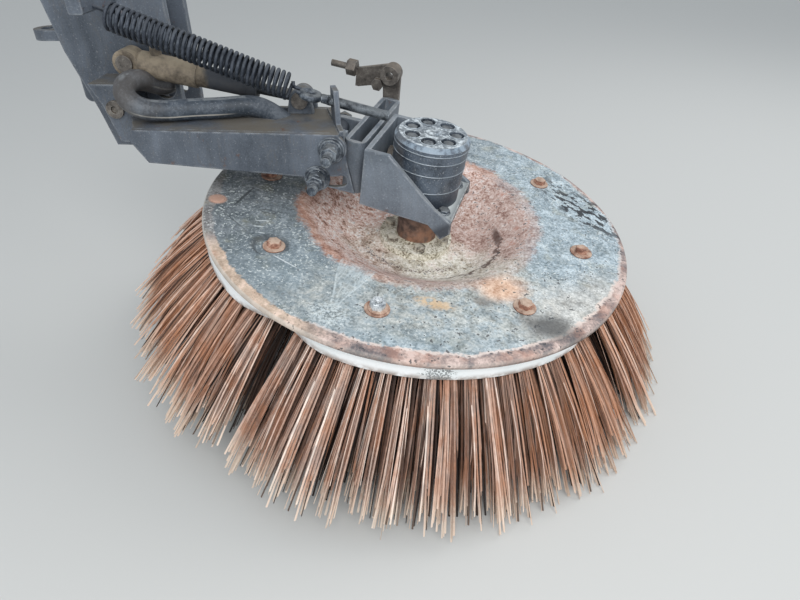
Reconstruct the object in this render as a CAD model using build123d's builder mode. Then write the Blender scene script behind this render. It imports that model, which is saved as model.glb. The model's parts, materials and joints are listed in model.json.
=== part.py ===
# Side brush unit of a street sweeper: a mounting bracket with a swinging post, a lifting arm
# and a tilted disc brush that a hydraulic motor turns.
# Millimetres, +Z up. The origin is the centre of the mounting face. The arm runs along +X,
# and the brush stands out from the chassis towards -Y.

import math
import os

from build123d import *

os.makedirs("parts", exist_ok=True)

# Place of the disc's centre, from the mounting face
REACH = 520.0
SET_OUT = 185.0
DROP = 250.0
TILT_SIDE = 7.8
TILT_FRONT = 5.0
HEAD_YAW = 13.0

# Running clearances
PIN_FIT = 0.05
SEAT_GAP = 0.3

# Mounting plate and kingpin shelves
PLATE_WIDTH = 220.0
PLATE_HEIGHT = 260.0
PLATE_T = 12.0
PLATE_HOLE_X = 160.0
PLATE_HOLE_Z = 200.0
PLATE_HOLE_R = 8.75
PLATE_CORNER_R = 12.0
SHELF_T = 16.0
SHELF_WIDTH = 130.0
SHELF_NOSE_R = 32.0
KINGPIN_Y = -55.0
KINGPIN_R = 15.0
KINGPIN_HEAD_R = 22.0
KINGPIN_HEAD_T = 8.0
KNUCKLE_LENGTH = 140.0
GUSSET_T = 10.0
GUSSET_HEIGHT = 34.0
GUSSET_X = 48.0

# Post: knuckle, back plate, pivot lug and the pins it carries
KNUCKLE_R = 38.0
POST_PLATE_T = 12.0
POST_TOP_LEFT = 116.0
POST_UPPER_LEFT = 97.0
POST_LOWER_LEFT = 66.0
POST_FOOT_LEFT = 50.0
POST_FOOT_RIGHT = 20.0
POST_RIGHT = 85.0
POST_UPPER_RISE = 71.0
POST_LOWER_DROP = 22.0
POST_FOOT_DROP = 84.0
POST_RIGHT_DROP = 8.0
POST_TOP_MARGIN = 6.0
LUG_T = 10.0
LUG_TOP_LEFT = 36.0
LUG_TOP_RIGHT = 14.0
LUG_WAIST_LEFT = 20.0
LUG_WAIST_RISE = 4.0
LUG_SIDE_RIGHT = 26.0
LUG_SIDE_RISE = 16.0
LUG_SIDE_DROP = 14.0
LUG_FOOT_LEFT = 5.0
LUG_FOOT_RIGHT = 10.0
LUG_FOOT_DROP = 54.0
LUG_HEADROOM = 5.0
LUG_FRONT_Y = -170.0
PIVOT_X = 30.0
PIVOT_Z = -92.0
PIVOT_PIN_R = 12.0
PIVOT_RING_R = 14.0
PIN_HEAD_T = 5.0
PIN_HEAD_LIP = 5.0
BOSS_R = 25.0
WEB_T = 8.0
LEVER_LENGTH = 105.0
LEVER_FORWARD = 15.0
LEVER_T = 16.0
LEVER_END_R = 22.0
LEVER_BORE_R = 10.1

# Lift cylinder
CYLINDER_Y = -132.0
BARREL_PIN_X = 53.0
BARREL_PIN_Z = -27.0
ROD_PIN_BACK = 195.0
ROD_PIN_Z = -78.0
CYLINDER_PIN_R = 8.0
BARREL_R = 20.0
BARREL_HEAD_LENGTH = 110.0
TUBE_R = 17.0
GLAND_R = 19.0
GLAND_LENGTH = 14.0
ROD_SHOWING = 70.7
BARREL_EYE_WIDTH = 34.0
ROD_R = 9.0
ROD_INSIDE = 70.0
ROD_STROKE_ROOM = 38.0
ROD_EYE_R = 17.0
ROD_EYE_WIDTH = 20.0
ROD_EYE_PLAY = 3.0
PORT_R = 9.0
PORT_HEIGHT = 12.0
PORT_WALL = 3.0
PORT_FROM_EYE = 42.0
PORT_FROM_GLAND = 16.0
CLEVIS_T = 8.0
CLEVIS_GAP = 1.0
CLEVIS_LUG_R = 17.0
CLEVIS_FOOT = 42.0

# Arm: welded box of plates
ARM_FRONT_Y = -245.0
ARM_REAR_Y = -113.0
ARM_TOP_Z = -99.0
ARM_FRONT_T = 8.0
ARM_REAR_T = 8.0
ARM_TOP_T = 6.0
ARM_BOTTOM_T = 6.0
ARM_END_T = 8.0
ARM_DEPTH = 67.0
ARM_LEFT = 50.0
ARM_LEFT_DEPTH = 51.0
ARM_END_SKEW = 38.0
ARM_OVERHANG = 12.0
NOSE_SET_BACK = 6.0
NOSE_DROP = 17.0
NOSE_SLANT = 22.0
TOP_NOSE = 20.0
TOP_NOSE_Y = 52.0
TOP_STEP_Y = 78.0
REAR_SET_BACK = 46.0
CHEEK_T = 10.0
CHEEK_SPACING = 26.0
CHEEK_INSIDE = 60.0
CHEEK_ROOT = 8.0
CHEEK_SLOPE = 3.0
NOTCH_WIDTH = 65.0
NOTCH_DEPTH = 62.0
NOTCH_CORNER = 14.0
NOTCH_FROM_ROD_PIN = 19.0
END_BAR_RISE = 3.0
END_BAR_SHORT = 4.0

# Tilt bolts and the slot they lock in
TILT_X = -132.0
TILT_Z = 128.0
TILT_RADIUS = 51.0
TILT_BOLT_ANGLE = 28.0
SLOT_ANGLE = 15.0
TILT_BOLT_R = 8.0
TILT_HOLE_R = 8.6
LOBE_R = 23.0
EAR_DROP = 70.0
EAR_LEFT = 46.0
EAR_FOOT_LEFT = 9.0
EAR_FOOT_RISE = 10.0
EAR_RIGHT = 32.0
EAR_NECK = 21.0
EAR_NECK_DROP = 12.0
REAR_EAR_LEFT = 30.0
REAR_EAR_RIGHT = 12.0
REAR_EAR_SLANT = 4.0
REAR_LOBE_R = 15.0
BOLT_STICK_OUT = 34.0
NUT_R = 13.8
NUT_T = 13.0
WASHER_R = 20.0
WASHER_T = 3.5

# Tilt ring between the arm and the motor bracket, in the head's frame
RING_LEFT = -128.0
RING_RIGHT = -94.0
RING_FRONT = -46.0
RING_REAR = 150.0
RING_BOTTOM = 30.0
RING_TOP = 118.0
RING_T = 7.0
RING_CORNER_R = 12.0
PAD_R = 20.0
PAD_Y = 16.0
PAD_SPACING = 60.0
TILT_LUG_T = 12.0
FRONT_LUG_Y = -205.0
REAR_LUG_Y = -141.0
SPACER_R = 13.0
LUG_EYE_R = 16.0
LUG_ROOT_X = 40.0
LUG_ROOT_HEIGHT = 60.0

# Side tilt adjuster behind the ring, in the head's frame
ADJUSTER_T = 8.0
BUSH_X = -118.0
BUSH_RISE = 42.0
BUSH_R = 16.0
BUSH_BORE_R = 7.0
BUSH_LENGTH = 28.0
STRAP_WIDTH = 22.0
STRAP_DEPTH = 60.0
SIDE_PLATE_REACH = 64.0
SIDE_PLATE_HEIGHT = 31.0
SIDE_PLATE_DROP = 20.0
SIDE_PLATE_EDGE = 6.0
STOP_BOLT_LEFT = 22.0
STOP_BOLT_DROP = 22.0
STOP_BOLT_HEAD_R = 11.0
STOP_BOLT_HEAD_T = 9.0
ADJUSTER_NUT_R = 14.0
ADJUSTER_NUT_T = 16.0
ADJUSTER_ROD_R = 5.5
ADJUSTER_ROD_LENGTH = 46.0
ADJUSTER_ROD_DROP = 5.0

# Motor bracket, in the head's frame
BRACKET_LEFT = -84.0
BRACKET_RIGHT = 64.0
BRACKET_HALF_WIDTH = 75.0
BRACKET_T = 8.0
BASE_TOP = 40.0
BACK_TOP = 125.0
SHAFT_HOLE_R = 25.0
CHEEK_TOP_WIDTH = 38.0
CHEEK_KNEE_X = 119.0
CHEEK_KNEE_RISE = 16.0
CHEEK_NOSE = 2.0
CHEEK_NOSE_DROP = 18.0
CHEEK_TOE_X = 11.0
CHEEK_TOE_DROP = 32.0
CHEEK_ARCH_X = 34.0
CHEEK_ARCH_DROP = 12.0

# Motor, in the head's frame
MOTOR_FLANGE_SIZE = 120.0
MOTOR_FLANGE_T = 14.0
MOTOR_R = 52.0
MOTOR_BODY_R = 55.0
MOTOR_STEP = 95.0
CAP_BOTTOM = 112.0
CAP_TOP = 135.0
CAP_R = 57.5
CAP_CHAMFER = 5.0
CAP_BOLT_COUNT = 7
CAP_BOLT_CIRCLE_R = 37.0
CAP_SINK_R = 12.0
CAP_SINK_DEPTH = 9.0
CAP_PLUG_R = 11.0
CAP_PLUG_RISE = 4.0
MOTOR_BOLT_R = 9.8
MOTOR_BOLT_RISE = 1.0
SHAFT_R = 16.0
SHAFT_DEPTH = 18.0
SHAFT_END_GAP = 1.0
FLANGE_HOLE_R = 20.0
MOTOR_PORT_SPACING = 44.0
MOTOR_PORT_R = 13.0
MOTOR_PORT_LENGTH = 20.0
MOTOR_PORT_HEIGHT = 80.0

# Brush: hub, disc, blocks and bristles
DISC_R = 350.0
DISC_T = 6.0
RIM_DROP = 8.0
RIM_R = 4.5
BOWL_R = 190.0
BOWL_FLOOR_R = 110.0
BOWL_DEPTH = 55.0
BOWL_BEND_R = 40.0
HUB_R = 34.0
HUB_FLANGE_R = 62.0
HUB_FLANGE_T = 12.0
HUB_TOP_R = 48.0
HUB_TOP_T = 12.0
HUB_CLEARANCE = 6.0
DISC_BOLT_COUNT = 8
DISC_BOLT_CIRCLE_R = 265.0
DISC_BOLT_TURN = 3.0
DISC_BOLT_R = 6.0
DISC_BOLT_WASHER_R = 18.0
DISC_BOLT_WASHER_T = 2.5
DISC_BOLT_HEAD_R = 10.4
DISC_BOLT_HEAD_T = 7.5
SECTOR_COUNT = 4
SECTOR_TURN = 71.1
SECTOR_GAP = 1.5
BLOCK_FROM_BOWL = 16.0
BLOCK_FROM_RIM = 9.0
BLOCK_CHAMFER = 6.0
BLOCK_T = 32.0
TUFT_COUNT = 28
TUFT_END_ANGLE = 2.2
TUFT_INNER_MARGIN = 19.0
TUFT_OUTER_MARGIN = 15.0
BRISTLE_TIP_INNER_R = 345.0
BRISTLE_TIP_OUTER_R = 465.0
BRISTLE_TIP_DROP = 195.0
TUFT_GROOVE_TOP = 8.0
TUFT_GROOVE_TIP = 38.0
TUFT_FACE_SHARE = 0.62

# Spring and its eye bolt
SPRING_Y = -190.0
SPRING_R = 18.0
SPRING_WIRE_R = 2.5
ANCHOR_X = 30.0
ANCHOR_Z = 63.0
UPPER_HOOK_X = 36.0
LOWER_HOOK_X = 8.0
EYE_BACK = 168.0
EYE_Z = -58.0
EYE_R = 13.0
EYE_WIRE_R = 6.0
EYE_BOLT_R = 8.0
EYE_BOLT_LENGTH = 122.0
EYE_BOLT_SLOPE = 14.0
EYE_LUG_WIDTH = 44.0
EYE_LUG_RISE = 52.0
EYE_LUG_TAPER = 6.0
EYE_HOLE_PLAY = 0.6
ANCHOR_BAR = 22.0
ANCHOR_BEYOND = 18.0
ANCHOR_EDGE_R = 3.0

# Hose sleeve
HOSE_R = 16.0
HOSE_WINDOW_SIDE = 58.0
HOSE_WINDOW_RISE = 18.0
HOSE_WINDOW_PLAY = 3.0

ROD_PIN_X = REACH - ROD_PIN_BACK
EYE_X = REACH - EYE_BACK
BLOCK_INNER_R = BOWL_R + BLOCK_FROM_BOWL
BLOCK_OUTER_R = DISC_R - BLOCK_FROM_RIM
BRISTLE_TOP_INNER_R = BLOCK_INNER_R + TUFT_INNER_MARGIN
BRISTLE_TOP_OUTER_R = BLOCK_OUTER_R - TUFT_OUTER_MARGIN

disc_centre = Vector(REACH, -SET_OUT, -DROP)
spin_dir = Vector(math.sin(math.radians(TILT_SIDE)), -math.sin(math.radians(TILT_FRONT)), 1)
head_x = (math.cos(math.radians(HEAD_YAW)), -math.sin(math.radians(HEAD_YAW)), 0)
flat_head = Plane(origin=disc_centre, x_dir=head_x, z_dir=(0, 0, 1))
side_dir = spin_dir.cross(flat_head.x_dir)
head = Plane(origin=disc_centre, x_dir=side_dir.cross(spin_dir), z_dir=spin_dir)
head_section = Plane(origin=head.origin, x_dir=head.x_dir, z_dir=-head.y_dir)
spin_axis = Axis(head.origin, head.z_dir)


def head_side(y):
    # Vertical plane of the head at y, with head x to the right and head z up
    return Plane(origin=head.from_local_coords((0, y, 0)), x_dir=head.x_dir, z_dir=-head.y_dir)


def facing(y):
    # Plane parallel to XZ at y, whose normal points out from the chassis, to -Y
    return Plane.XZ.offset(-y)


# Mounting plate and shelves
with BuildPart() as chassis_plate:
    with BuildSketch(Plane.XZ):
        RectangleRounded(PLATE_WIDTH, PLATE_HEIGHT, PLATE_CORNER_R)
        with GridLocations(PLATE_HOLE_X, PLATE_HOLE_Z, 2, 2):
            Circle(PLATE_HOLE_R, mode=Mode.SUBTRACT)
    extrude(amount=PLATE_T)
chassis_plate.part.label = "chassis_plate"
export_step(chassis_plate.part, "parts/chassis_plate.step")

SHELF_Z = KNUCKLE_LENGTH / 2 + SEAT_GAP
shelf_bottoms = {"shelf_upper": SHELF_Z, "shelf_lower": -SHELF_Z - SHELF_T}
for name, bottom in shelf_bottoms.items():
    with BuildPart() as shelf:
        with BuildSketch(Plane.XY.offset(bottom)):
            with Locations((0, KINGPIN_Y)):
                Circle(SHELF_NOSE_R)
            with Locations((0, -PLATE_T - 1)):
                Rectangle(SHELF_WIDTH, 2)
            make_hull()
            with Locations((0, KINGPIN_Y)):
                Circle(KINGPIN_R + PIN_FIT, mode=Mode.SUBTRACT)
        extrude(amount=SHELF_T)
    shelf.part.label = name
    export_step(shelf.part, f"parts/{name}.step")

GUSSET_REACH = -KINGPIN_Y - PLATE_T - 12
with BuildPart() as shelf_gussets:
    for side in (-1, 1):
        for direction in (-1, 1):
            with BuildSketch(Plane.YZ.offset(side * GUSSET_X - GUSSET_T / 2)):
                with BuildLine():
                    Polyline(
                        (-PLATE_T, direction * (SHELF_Z + SHELF_T)),
                        (-PLATE_T - GUSSET_REACH, direction * (SHELF_Z + SHELF_T)),
                        (-PLATE_T, direction * (SHELF_Z + SHELF_T + GUSSET_HEIGHT)),
                        close=True,
                    )
                make_face()
            extrude(amount=GUSSET_T)
shelf_gussets.part.label = "shelf_gussets"
export_step(shelf_gussets.part, "parts/shelf_gussets.step")

with BuildPart() as kingpin:
    with BuildSketch(Plane.XY.offset(-SHELF_Z - SHELF_T - KINGPIN_HEAD_T)):
        with Locations((0, KINGPIN_Y)):
            Circle(KINGPIN_R)
    extrude(amount=2 * (SHELF_Z + SHELF_T) + KINGPIN_HEAD_T)
    with BuildSketch(Plane.XY.offset(SHELF_Z + SHELF_T)):
        with Locations((0, KINGPIN_Y)):
            Circle(KINGPIN_HEAD_R)
    extrude(amount=KINGPIN_HEAD_T)
    chamfer(kingpin.faces().sort_by(Axis.Z)[-1].edges(), 2)
kingpin.part.label = "kingpin"
export_step(kingpin.part, "parts/kingpin.step")

# Post
POST_REAR_Y = KINGPIN_Y - KNUCKLE_R
POST_FRONT_Y = POST_REAR_Y - POST_PLATE_T

with BuildPart() as knuckle:
    with BuildSketch(Plane.XY.offset(-KNUCKLE_LENGTH / 2)):
        with Locations((0, KINGPIN_Y)):
            Circle(KNUCKLE_R)
        with Locations((0, (KINGPIN_Y + POST_REAR_Y) / 2)):
            Rectangle(1.5 * KNUCKLE_R, KNUCKLE_R)
        with Locations((0, KINGPIN_Y)):
            Circle(KINGPIN_R + PIN_FIT, mode=Mode.SUBTRACT)
    extrude(amount=KNUCKLE_LENGTH)
knuckle.part.label = "knuckle"
export_step(knuckle.part, "parts/knuckle.step")

with BuildPart() as swing_lever:
    with BuildSketch(Plane.XY.offset(-LEVER_T / 2)):
        with Locations((-LEVER_LENGTH, KINGPIN_Y - LEVER_FORWARD)):
            Circle(LEVER_END_R)
        with Locations((-KNUCKLE_R / 2, KINGPIN_Y)):
            Rectangle(2, 1.6 * KNUCKLE_R)
        make_hull()
        with Locations((0, KINGPIN_Y)):
            Circle(KNUCKLE_R, mode=Mode.SUBTRACT)
        with Locations((0, (KINGPIN_Y + POST_REAR_Y) / 2)):
            Rectangle(1.5 * KNUCKLE_R, KNUCKLE_R, mode=Mode.SUBTRACT)
        with Locations((-LEVER_LENGTH, KINGPIN_Y - LEVER_FORWARD)):
            Circle(LEVER_BORE_R, mode=Mode.SUBTRACT)
    extrude(amount=LEVER_T)
swing_lever.part.label = "swing_lever"
export_step(swing_lever.part, "parts/swing_lever.step")

# Outline of the back plate, left edge slanted, with a window where the hoses pass
POST_TOP_Z = ANCHOR_Z + ANCHOR_BAR / 2 + POST_TOP_MARGIN
HOSE_WINDOW_X = PIVOT_X + HOSE_WINDOW_SIDE
HOSE_WINDOW_Z = PIVOT_Z + HOSE_WINDOW_RISE
with BuildPart() as post_plate:
    with BuildSketch(facing(POST_REAR_Y)):
        with BuildLine():
            Polyline(
                (PIVOT_X - POST_TOP_LEFT, POST_TOP_Z),
                (PIVOT_X - POST_UPPER_LEFT, PIVOT_Z + POST_UPPER_RISE),
                (PIVOT_X - POST_LOWER_LEFT, PIVOT_Z - POST_LOWER_DROP),
                (PIVOT_X - POST_FOOT_LEFT, PIVOT_Z - POST_FOOT_DROP),
                (PIVOT_X + POST_FOOT_RIGHT, PIVOT_Z - POST_FOOT_DROP),
                (PIVOT_X + POST_RIGHT, PIVOT_Z - POST_RIGHT_DROP),
                (PIVOT_X + POST_RIGHT, POST_TOP_Z),
                close=True,
            )
        make_face()
        with Locations((HOSE_WINDOW_X, HOSE_WINDOW_Z)):
            Circle(HOSE_R + HOSE_WINDOW_PLAY, mode=Mode.SUBTRACT)
        with Locations((PIVOT_X, PIVOT_Z)):
            Circle(PIVOT_PIN_R, mode=Mode.SUBTRACT)
        with Locations((BARREL_PIN_X, BARREL_PIN_Z)):
            Circle(CYLINDER_PIN_R, mode=Mode.SUBTRACT)
    extrude(amount=POST_PLATE_T)
post_plate.part.label = "post_plate"
export_step(post_plate.part, "parts/post_plate.step")

LUG_TOP_Z = PIVOT_Z + BOSS_R + LUG_HEADROOM + WEB_T
with BuildPart() as pivot_lug:
    with BuildSketch(facing(LUG_FRONT_Y + LUG_T)):
        with BuildLine():
            Polyline(
                (PIVOT_X - LUG_TOP_LEFT, LUG_TOP_Z),
                (PIVOT_X - LUG_WAIST_LEFT, PIVOT_Z + LUG_WAIST_RISE),
                (PIVOT_X - LUG_FOOT_LEFT, PIVOT_Z - LUG_FOOT_DROP),
                (PIVOT_X + LUG_FOOT_RIGHT, PIVOT_Z - LUG_FOOT_DROP),
                (PIVOT_X + LUG_SIDE_RIGHT, PIVOT_Z - LUG_SIDE_DROP),
                (PIVOT_X + LUG_SIDE_RIGHT, PIVOT_Z + LUG_SIDE_RISE),
                (PIVOT_X + LUG_TOP_RIGHT, LUG_TOP_Z),
                close=True,
            )
        make_face()
        with Locations((PIVOT_X, PIVOT_Z)):
            Circle(PIVOT_PIN_R, mode=Mode.SUBTRACT)
    extrude(amount=LUG_T)
pivot_lug.part.label = "pivot_lug"
export_step(pivot_lug.part, "parts/pivot_lug.step")

WEB_DEPTH = POST_FRONT_Y - LUG_FRONT_Y - LUG_T
with BuildPart() as post_web:
    with BuildSketch(Plane.XY.offset(LUG_TOP_Z - WEB_T)):
        with Locations((PIVOT_X - LUG_TOP_LEFT, LUG_FRONT_Y + LUG_T)):
            Rectangle(
                LUG_TOP_LEFT + LUG_TOP_RIGHT, WEB_DEPTH, align=(Align.MIN, Align.MIN)
            )
    extrude(amount=WEB_T)
post_web.part.label = "post_web"
export_step(post_web.part, "parts/post_web.step")

with BuildPart() as pivot_pin:
    with BuildSketch(facing(POST_REAR_Y)):
        with Locations((PIVOT_X, PIVOT_Z)):
            Circle(PIVOT_PIN_R)
    extrude(amount=POST_REAR_Y - LUG_FRONT_Y)
    with BuildSketch(facing(LUG_FRONT_Y)):
        with Locations((PIVOT_X, PIVOT_Z)):
            Circle(PIVOT_RING_R)
            Circle(PIVOT_PIN_R / 2, mode=Mode.SUBTRACT)
    extrude(amount=PIN_HEAD_T)
pivot_pin.part.label = "pivot_pin"
export_step(pivot_pin.part, "parts/pivot_pin.step")

BARREL_EYE_FRONT_Y = CYLINDER_Y - BARREL_EYE_WIDTH / 2
with BuildPart() as barrel_pin:
    with BuildSketch(facing(POST_REAR_Y)):
        with Locations((BARREL_PIN_X, BARREL_PIN_Z)):
            Circle(CYLINDER_PIN_R)
    extrude(amount=POST_REAR_Y - BARREL_EYE_FRONT_Y + SEAT_GAP)
    with BuildSketch(facing(POST_FRONT_Y)):
        with Locations((BARREL_PIN_X, BARREL_PIN_Z)):
            Circle(CYLINDER_PIN_R + PIN_HEAD_LIP)
    extrude(amount=POST_FRONT_Y - BARREL_EYE_FRONT_Y - BARREL_EYE_WIDTH - SEAT_GAP)
    with BuildSketch(facing(BARREL_EYE_FRONT_Y - SEAT_GAP)):
        with Locations((BARREL_PIN_X, BARREL_PIN_Z)):
            Circle(CYLINDER_PIN_R + PIN_HEAD_LIP)
    extrude(amount=PIN_HEAD_T)
barrel_pin.part.label = "barrel_pin"
export_step(barrel_pin.part, "parts/barrel_pin.step")

with BuildPart() as spring_anchor:
    with BuildSketch(facing(POST_FRONT_Y)):
        with Locations((ANCHOR_X, ANCHOR_Z)):
            Rectangle(ANCHOR_BAR, ANCHOR_BAR)
    extrude(amount=POST_FRONT_Y - SPRING_Y + ANCHOR_BEYOND)
    fillet(spring_anchor.edges().filter_by(Axis.Y), ANCHOR_EDGE_R)
spring_anchor.part.label = "spring_anchor"
export_step(spring_anchor.part, "parts/spring_anchor.step")

# Lift cylinder
cylinder_dir = Vector(ROD_PIN_X - BARREL_PIN_X, 0, ROD_PIN_Z - BARREL_PIN_Z)
CYLINDER_LENGTH = cylinder_dir.length
cylinder = Plane(
    origin=(BARREL_PIN_X, CYLINDER_Y, BARREL_PIN_Z), x_dir=cylinder_dir, z_dir=(0, -1, 0)
)
cylinder_axis = Axis(cylinder.origin, cylinder.x_dir)
GLAND_END = CYLINDER_LENGTH - ROD_SHOWING
TUBE_LENGTH = GLAND_END - GLAND_LENGTH
ROD_INNER_END = GLAND_END - ROD_INSIDE

with BuildPart() as cylinder_barrel:
    with BuildSketch(cylinder):
        with BuildLine():
            Polyline(
                (CYLINDER_PIN_R + 2, 0),
                (CYLINDER_PIN_R + 2, BARREL_R - 8),
                (BARREL_R, BARREL_R),
                (BARREL_HEAD_LENGTH, BARREL_R),
                (BARREL_HEAD_LENGTH, TUBE_R),
                (TUBE_LENGTH, TUBE_R),
                (TUBE_LENGTH, GLAND_R),
                (GLAND_END, GLAND_R),
                (GLAND_END, ROD_R + PIN_FIT),
                (ROD_INNER_END - ROD_STROKE_ROOM, ROD_R + PIN_FIT),
                (ROD_INNER_END - ROD_STROKE_ROOM, 0),
                close=True,
            )
        make_face()
    revolve(axis=cylinder_axis)
    with BuildSketch(cylinder.offset(-BARREL_EYE_WIDTH / 2)):
        Circle(BARREL_R)
    extrude(amount=BARREL_EYE_WIDTH)
    with BuildSketch(cylinder.offset(-BARREL_EYE_WIDTH)):
        Circle(CYLINDER_PIN_R + PIN_FIT)
    extrude(amount=2 * BARREL_EYE_WIDTH, mode=Mode.SUBTRACT)
    for along in (PORT_FROM_EYE, TUBE_LENGTH - PORT_FROM_GLAND):
        port_plane = Plane(
            origin=cylinder.from_local_coords((along, 0, 0)), z_dir=cylinder.y_dir, x_dir=cylinder.x_dir
        )
        with BuildSketch(port_plane.offset(ROD_R + PORT_WALL)):
            Circle(PORT_R)
        extrude(amount=TUBE_R + PORT_HEIGHT - ROD_R - PORT_WALL)
cylinder_barrel.part.label = "cylinder_barrel"
export_step(cylinder_barrel.part, "parts/cylinder_barrel.step")

with BuildPart() as cylinder_rod:
    with BuildSketch(cylinder):
        with BuildLine():
            Polyline(
                (ROD_INNER_END, 0),
                (ROD_INNER_END, ROD_R),
                (CYLINDER_LENGTH, ROD_R),
                (CYLINDER_LENGTH, 0),
                close=True,
            )
        make_face()
    revolve(axis=cylinder_axis)
    with BuildSketch(cylinder.offset(-ROD_EYE_WIDTH / 2)):
        with Locations((CYLINDER_LENGTH, 0)):
            Circle(ROD_EYE_R)
    extrude(amount=ROD_EYE_WIDTH)
    with BuildSketch(cylinder.offset(-ROD_EYE_WIDTH)):
        with Locations((CYLINDER_LENGTH, 0)):
            Circle(CYLINDER_PIN_R + ROD_EYE_PLAY)
    extrude(amount=2 * ROD_EYE_WIDTH, mode=Mode.SUBTRACT)
cylinder_rod.part.label = "cylinder_rod"
export_step(cylinder_rod.part, "parts/cylinder_rod.step")

# Arm: its outline hangs between the pivot and the tilt bolt
BOLT_X = REACH + TILT_X
BOLT_Z = -DROP + TILT_Z
LEFT_X = PIVOT_X + ARM_LEFT
BOTTOM_LEFT = (LEFT_X + NOSE_SLANT, ARM_TOP_Z - ARM_LEFT_DEPTH)
BOTTOM_RIGHT = (BOLT_X - EAR_LEFT, ARM_TOP_Z - ARM_DEPTH)
SLOT_START = -90 - TILT_BOLT_ANGLE
SLOT_SWEEP = TILT_BOLT_ANGLE + SLOT_ANGLE
LOWER_BOLT_X = BOLT_X + TILT_RADIUS * math.cos(math.radians(SLOT_START))
LOWER_BOLT_Z = BOLT_Z + TILT_RADIUS * math.sin(math.radians(SLOT_START))
TOP_RIGHT_X = BOLT_X + ARM_OVERHANG


def bolt_and_slot():
    # Round hole for the upper bolt and curved slot for the lower one, cut from an ear
    with Locations((BOLT_X, BOLT_Z)):
        Circle(TILT_HOLE_R, mode=Mode.SUBTRACT)
    with BuildLine(mode=Mode.PRIVATE) as slot_line:
        CenterArc((BOLT_X, BOLT_Z), TILT_RADIUS, SLOT_START, SLOT_SWEEP)
    SlotArc(slot_line.edge(), 2 * TILT_HOLE_R, mode=Mode.SUBTRACT)


with BuildPart() as arm_front:
    with BuildSketch(facing(ARM_FRONT_Y + ARM_FRONT_T)):
        with BuildLine():
            Polyline(
                (LEFT_X + NOSE_SET_BACK, ARM_TOP_Z),
                (LEFT_X, ARM_TOP_Z - NOSE_DROP),
                BOTTOM_LEFT,
                BOTTOM_RIGHT,
                (BOLT_X - EAR_FOOT_LEFT, BOLT_Z - EAR_DROP + EAR_FOOT_RISE),
                (BOLT_X + EAR_RIGHT, BOLT_Z - EAR_DROP),
                (BOLT_X + EAR_NECK, BOLT_Z - EAR_NECK_DROP),
                (TOP_RIGHT_X, ARM_TOP_Z),
                close=True,
            )
        make_face()
        with Locations((BOLT_X, BOLT_Z)):
            Circle(LOBE_R)
        bolt_and_slot()
    extrude(amount=ARM_FRONT_T)
arm_front.part.label = "arm_front"
export_step(arm_front.part, "parts/arm_front.step")

ARM_INNER_FRONT_Y = ARM_FRONT_Y + ARM_FRONT_T
ARM_INNER_REAR_Y = ARM_REAR_Y - ARM_REAR_T
REAR_RIGHT_X = TOP_RIGHT_X - ARM_END_SKEW
REAR_LEFT_X = LEFT_X + REAR_SET_BACK
with BuildPart() as arm_rear:
    with BuildSketch(facing(ARM_REAR_Y)):
        with BuildLine():
            Polyline(
                (REAR_LEFT_X, ARM_TOP_Z),
                (REAR_LEFT_X, ARM_TOP_Z - ARM_LEFT_DEPTH),
                BOTTOM_RIGHT,
                (BOLT_X - REAR_EAR_LEFT, LOWER_BOLT_Z - LUG_EYE_R),
                (BOLT_X + REAR_EAR_RIGHT - REAR_EAR_SLANT, BOLT_Z - EAR_DROP + REAR_EAR_SLANT),
                (BOLT_X + REAR_EAR_RIGHT, BOLT_Z - EAR_NECK_DROP),
                (REAR_RIGHT_X, ARM_TOP_Z),
                close=True,
            )
        make_face()
        with Locations((BOLT_X, BOLT_Z)):
            Circle(REAR_LOBE_R)
        with Locations((BOLT_X, BOLT_Z), (LOWER_BOLT_X, LOWER_BOLT_Z)):
            Circle(TILT_HOLE_R, mode=Mode.SUBTRACT)
    extrude(amount=ARM_REAR_T)
arm_rear.part.label = "arm_rear"
export_step(arm_rear.part, "parts/arm_rear.step")

NOTCH_RIGHT = ROD_PIN_X - NOTCH_FROM_ROD_PIN
with BuildPart() as arm_top:
    with BuildSketch(Plane.XY.offset(ARM_TOP_Z - ARM_TOP_T)):
        with BuildLine():
            Polyline(
                (LEFT_X + NOSE_SET_BACK, ARM_INNER_FRONT_Y),
                (LEFT_X - TOP_NOSE, ARM_INNER_FRONT_Y + TOP_NOSE_Y),
                (REAR_LEFT_X, ARM_INNER_FRONT_Y + TOP_STEP_Y),
                (REAR_LEFT_X, ARM_INNER_REAR_Y),
                (NOTCH_RIGHT - NOTCH_WIDTH, ARM_INNER_REAR_Y),
                (NOTCH_RIGHT - NOTCH_WIDTH, ARM_INNER_REAR_Y - NOTCH_DEPTH + NOTCH_CORNER),
                (NOTCH_RIGHT - NOTCH_CORNER, ARM_INNER_REAR_Y - NOTCH_DEPTH),
                (NOTCH_RIGHT, ARM_INNER_REAR_Y - NOTCH_DEPTH + NOTCH_CORNER),
                (NOTCH_RIGHT, ARM_INNER_REAR_Y),
                (REAR_RIGHT_X, ARM_INNER_REAR_Y),
                (TOP_RIGHT_X, ARM_INNER_FRONT_Y),
                close=True,
            )
        make_face()
    extrude(amount=ARM_TOP_T)
arm_top.part.label = "arm_top"
export_step(arm_top.part, "parts/arm_top.step")

with BuildPart() as arm_bottom:
    with BuildSketch(facing(ARM_INNER_REAR_Y)):
        with BuildLine():
            Polyline(
                (REAR_LEFT_X, BOTTOM_LEFT[1]),
                BOTTOM_RIGHT,
                (BOTTOM_RIGHT[0], BOTTOM_RIGHT[1] + ARM_BOTTOM_T),
                (REAR_LEFT_X, BOTTOM_LEFT[1] + ARM_BOTTOM_T),
                close=True,
            )
        make_face()
    extrude(amount=ARM_INNER_REAR_Y - ARM_INNER_FRONT_Y)
arm_bottom.part.label = "arm_bottom"
export_step(arm_bottom.part, "parts/arm_bottom.step")

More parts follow.
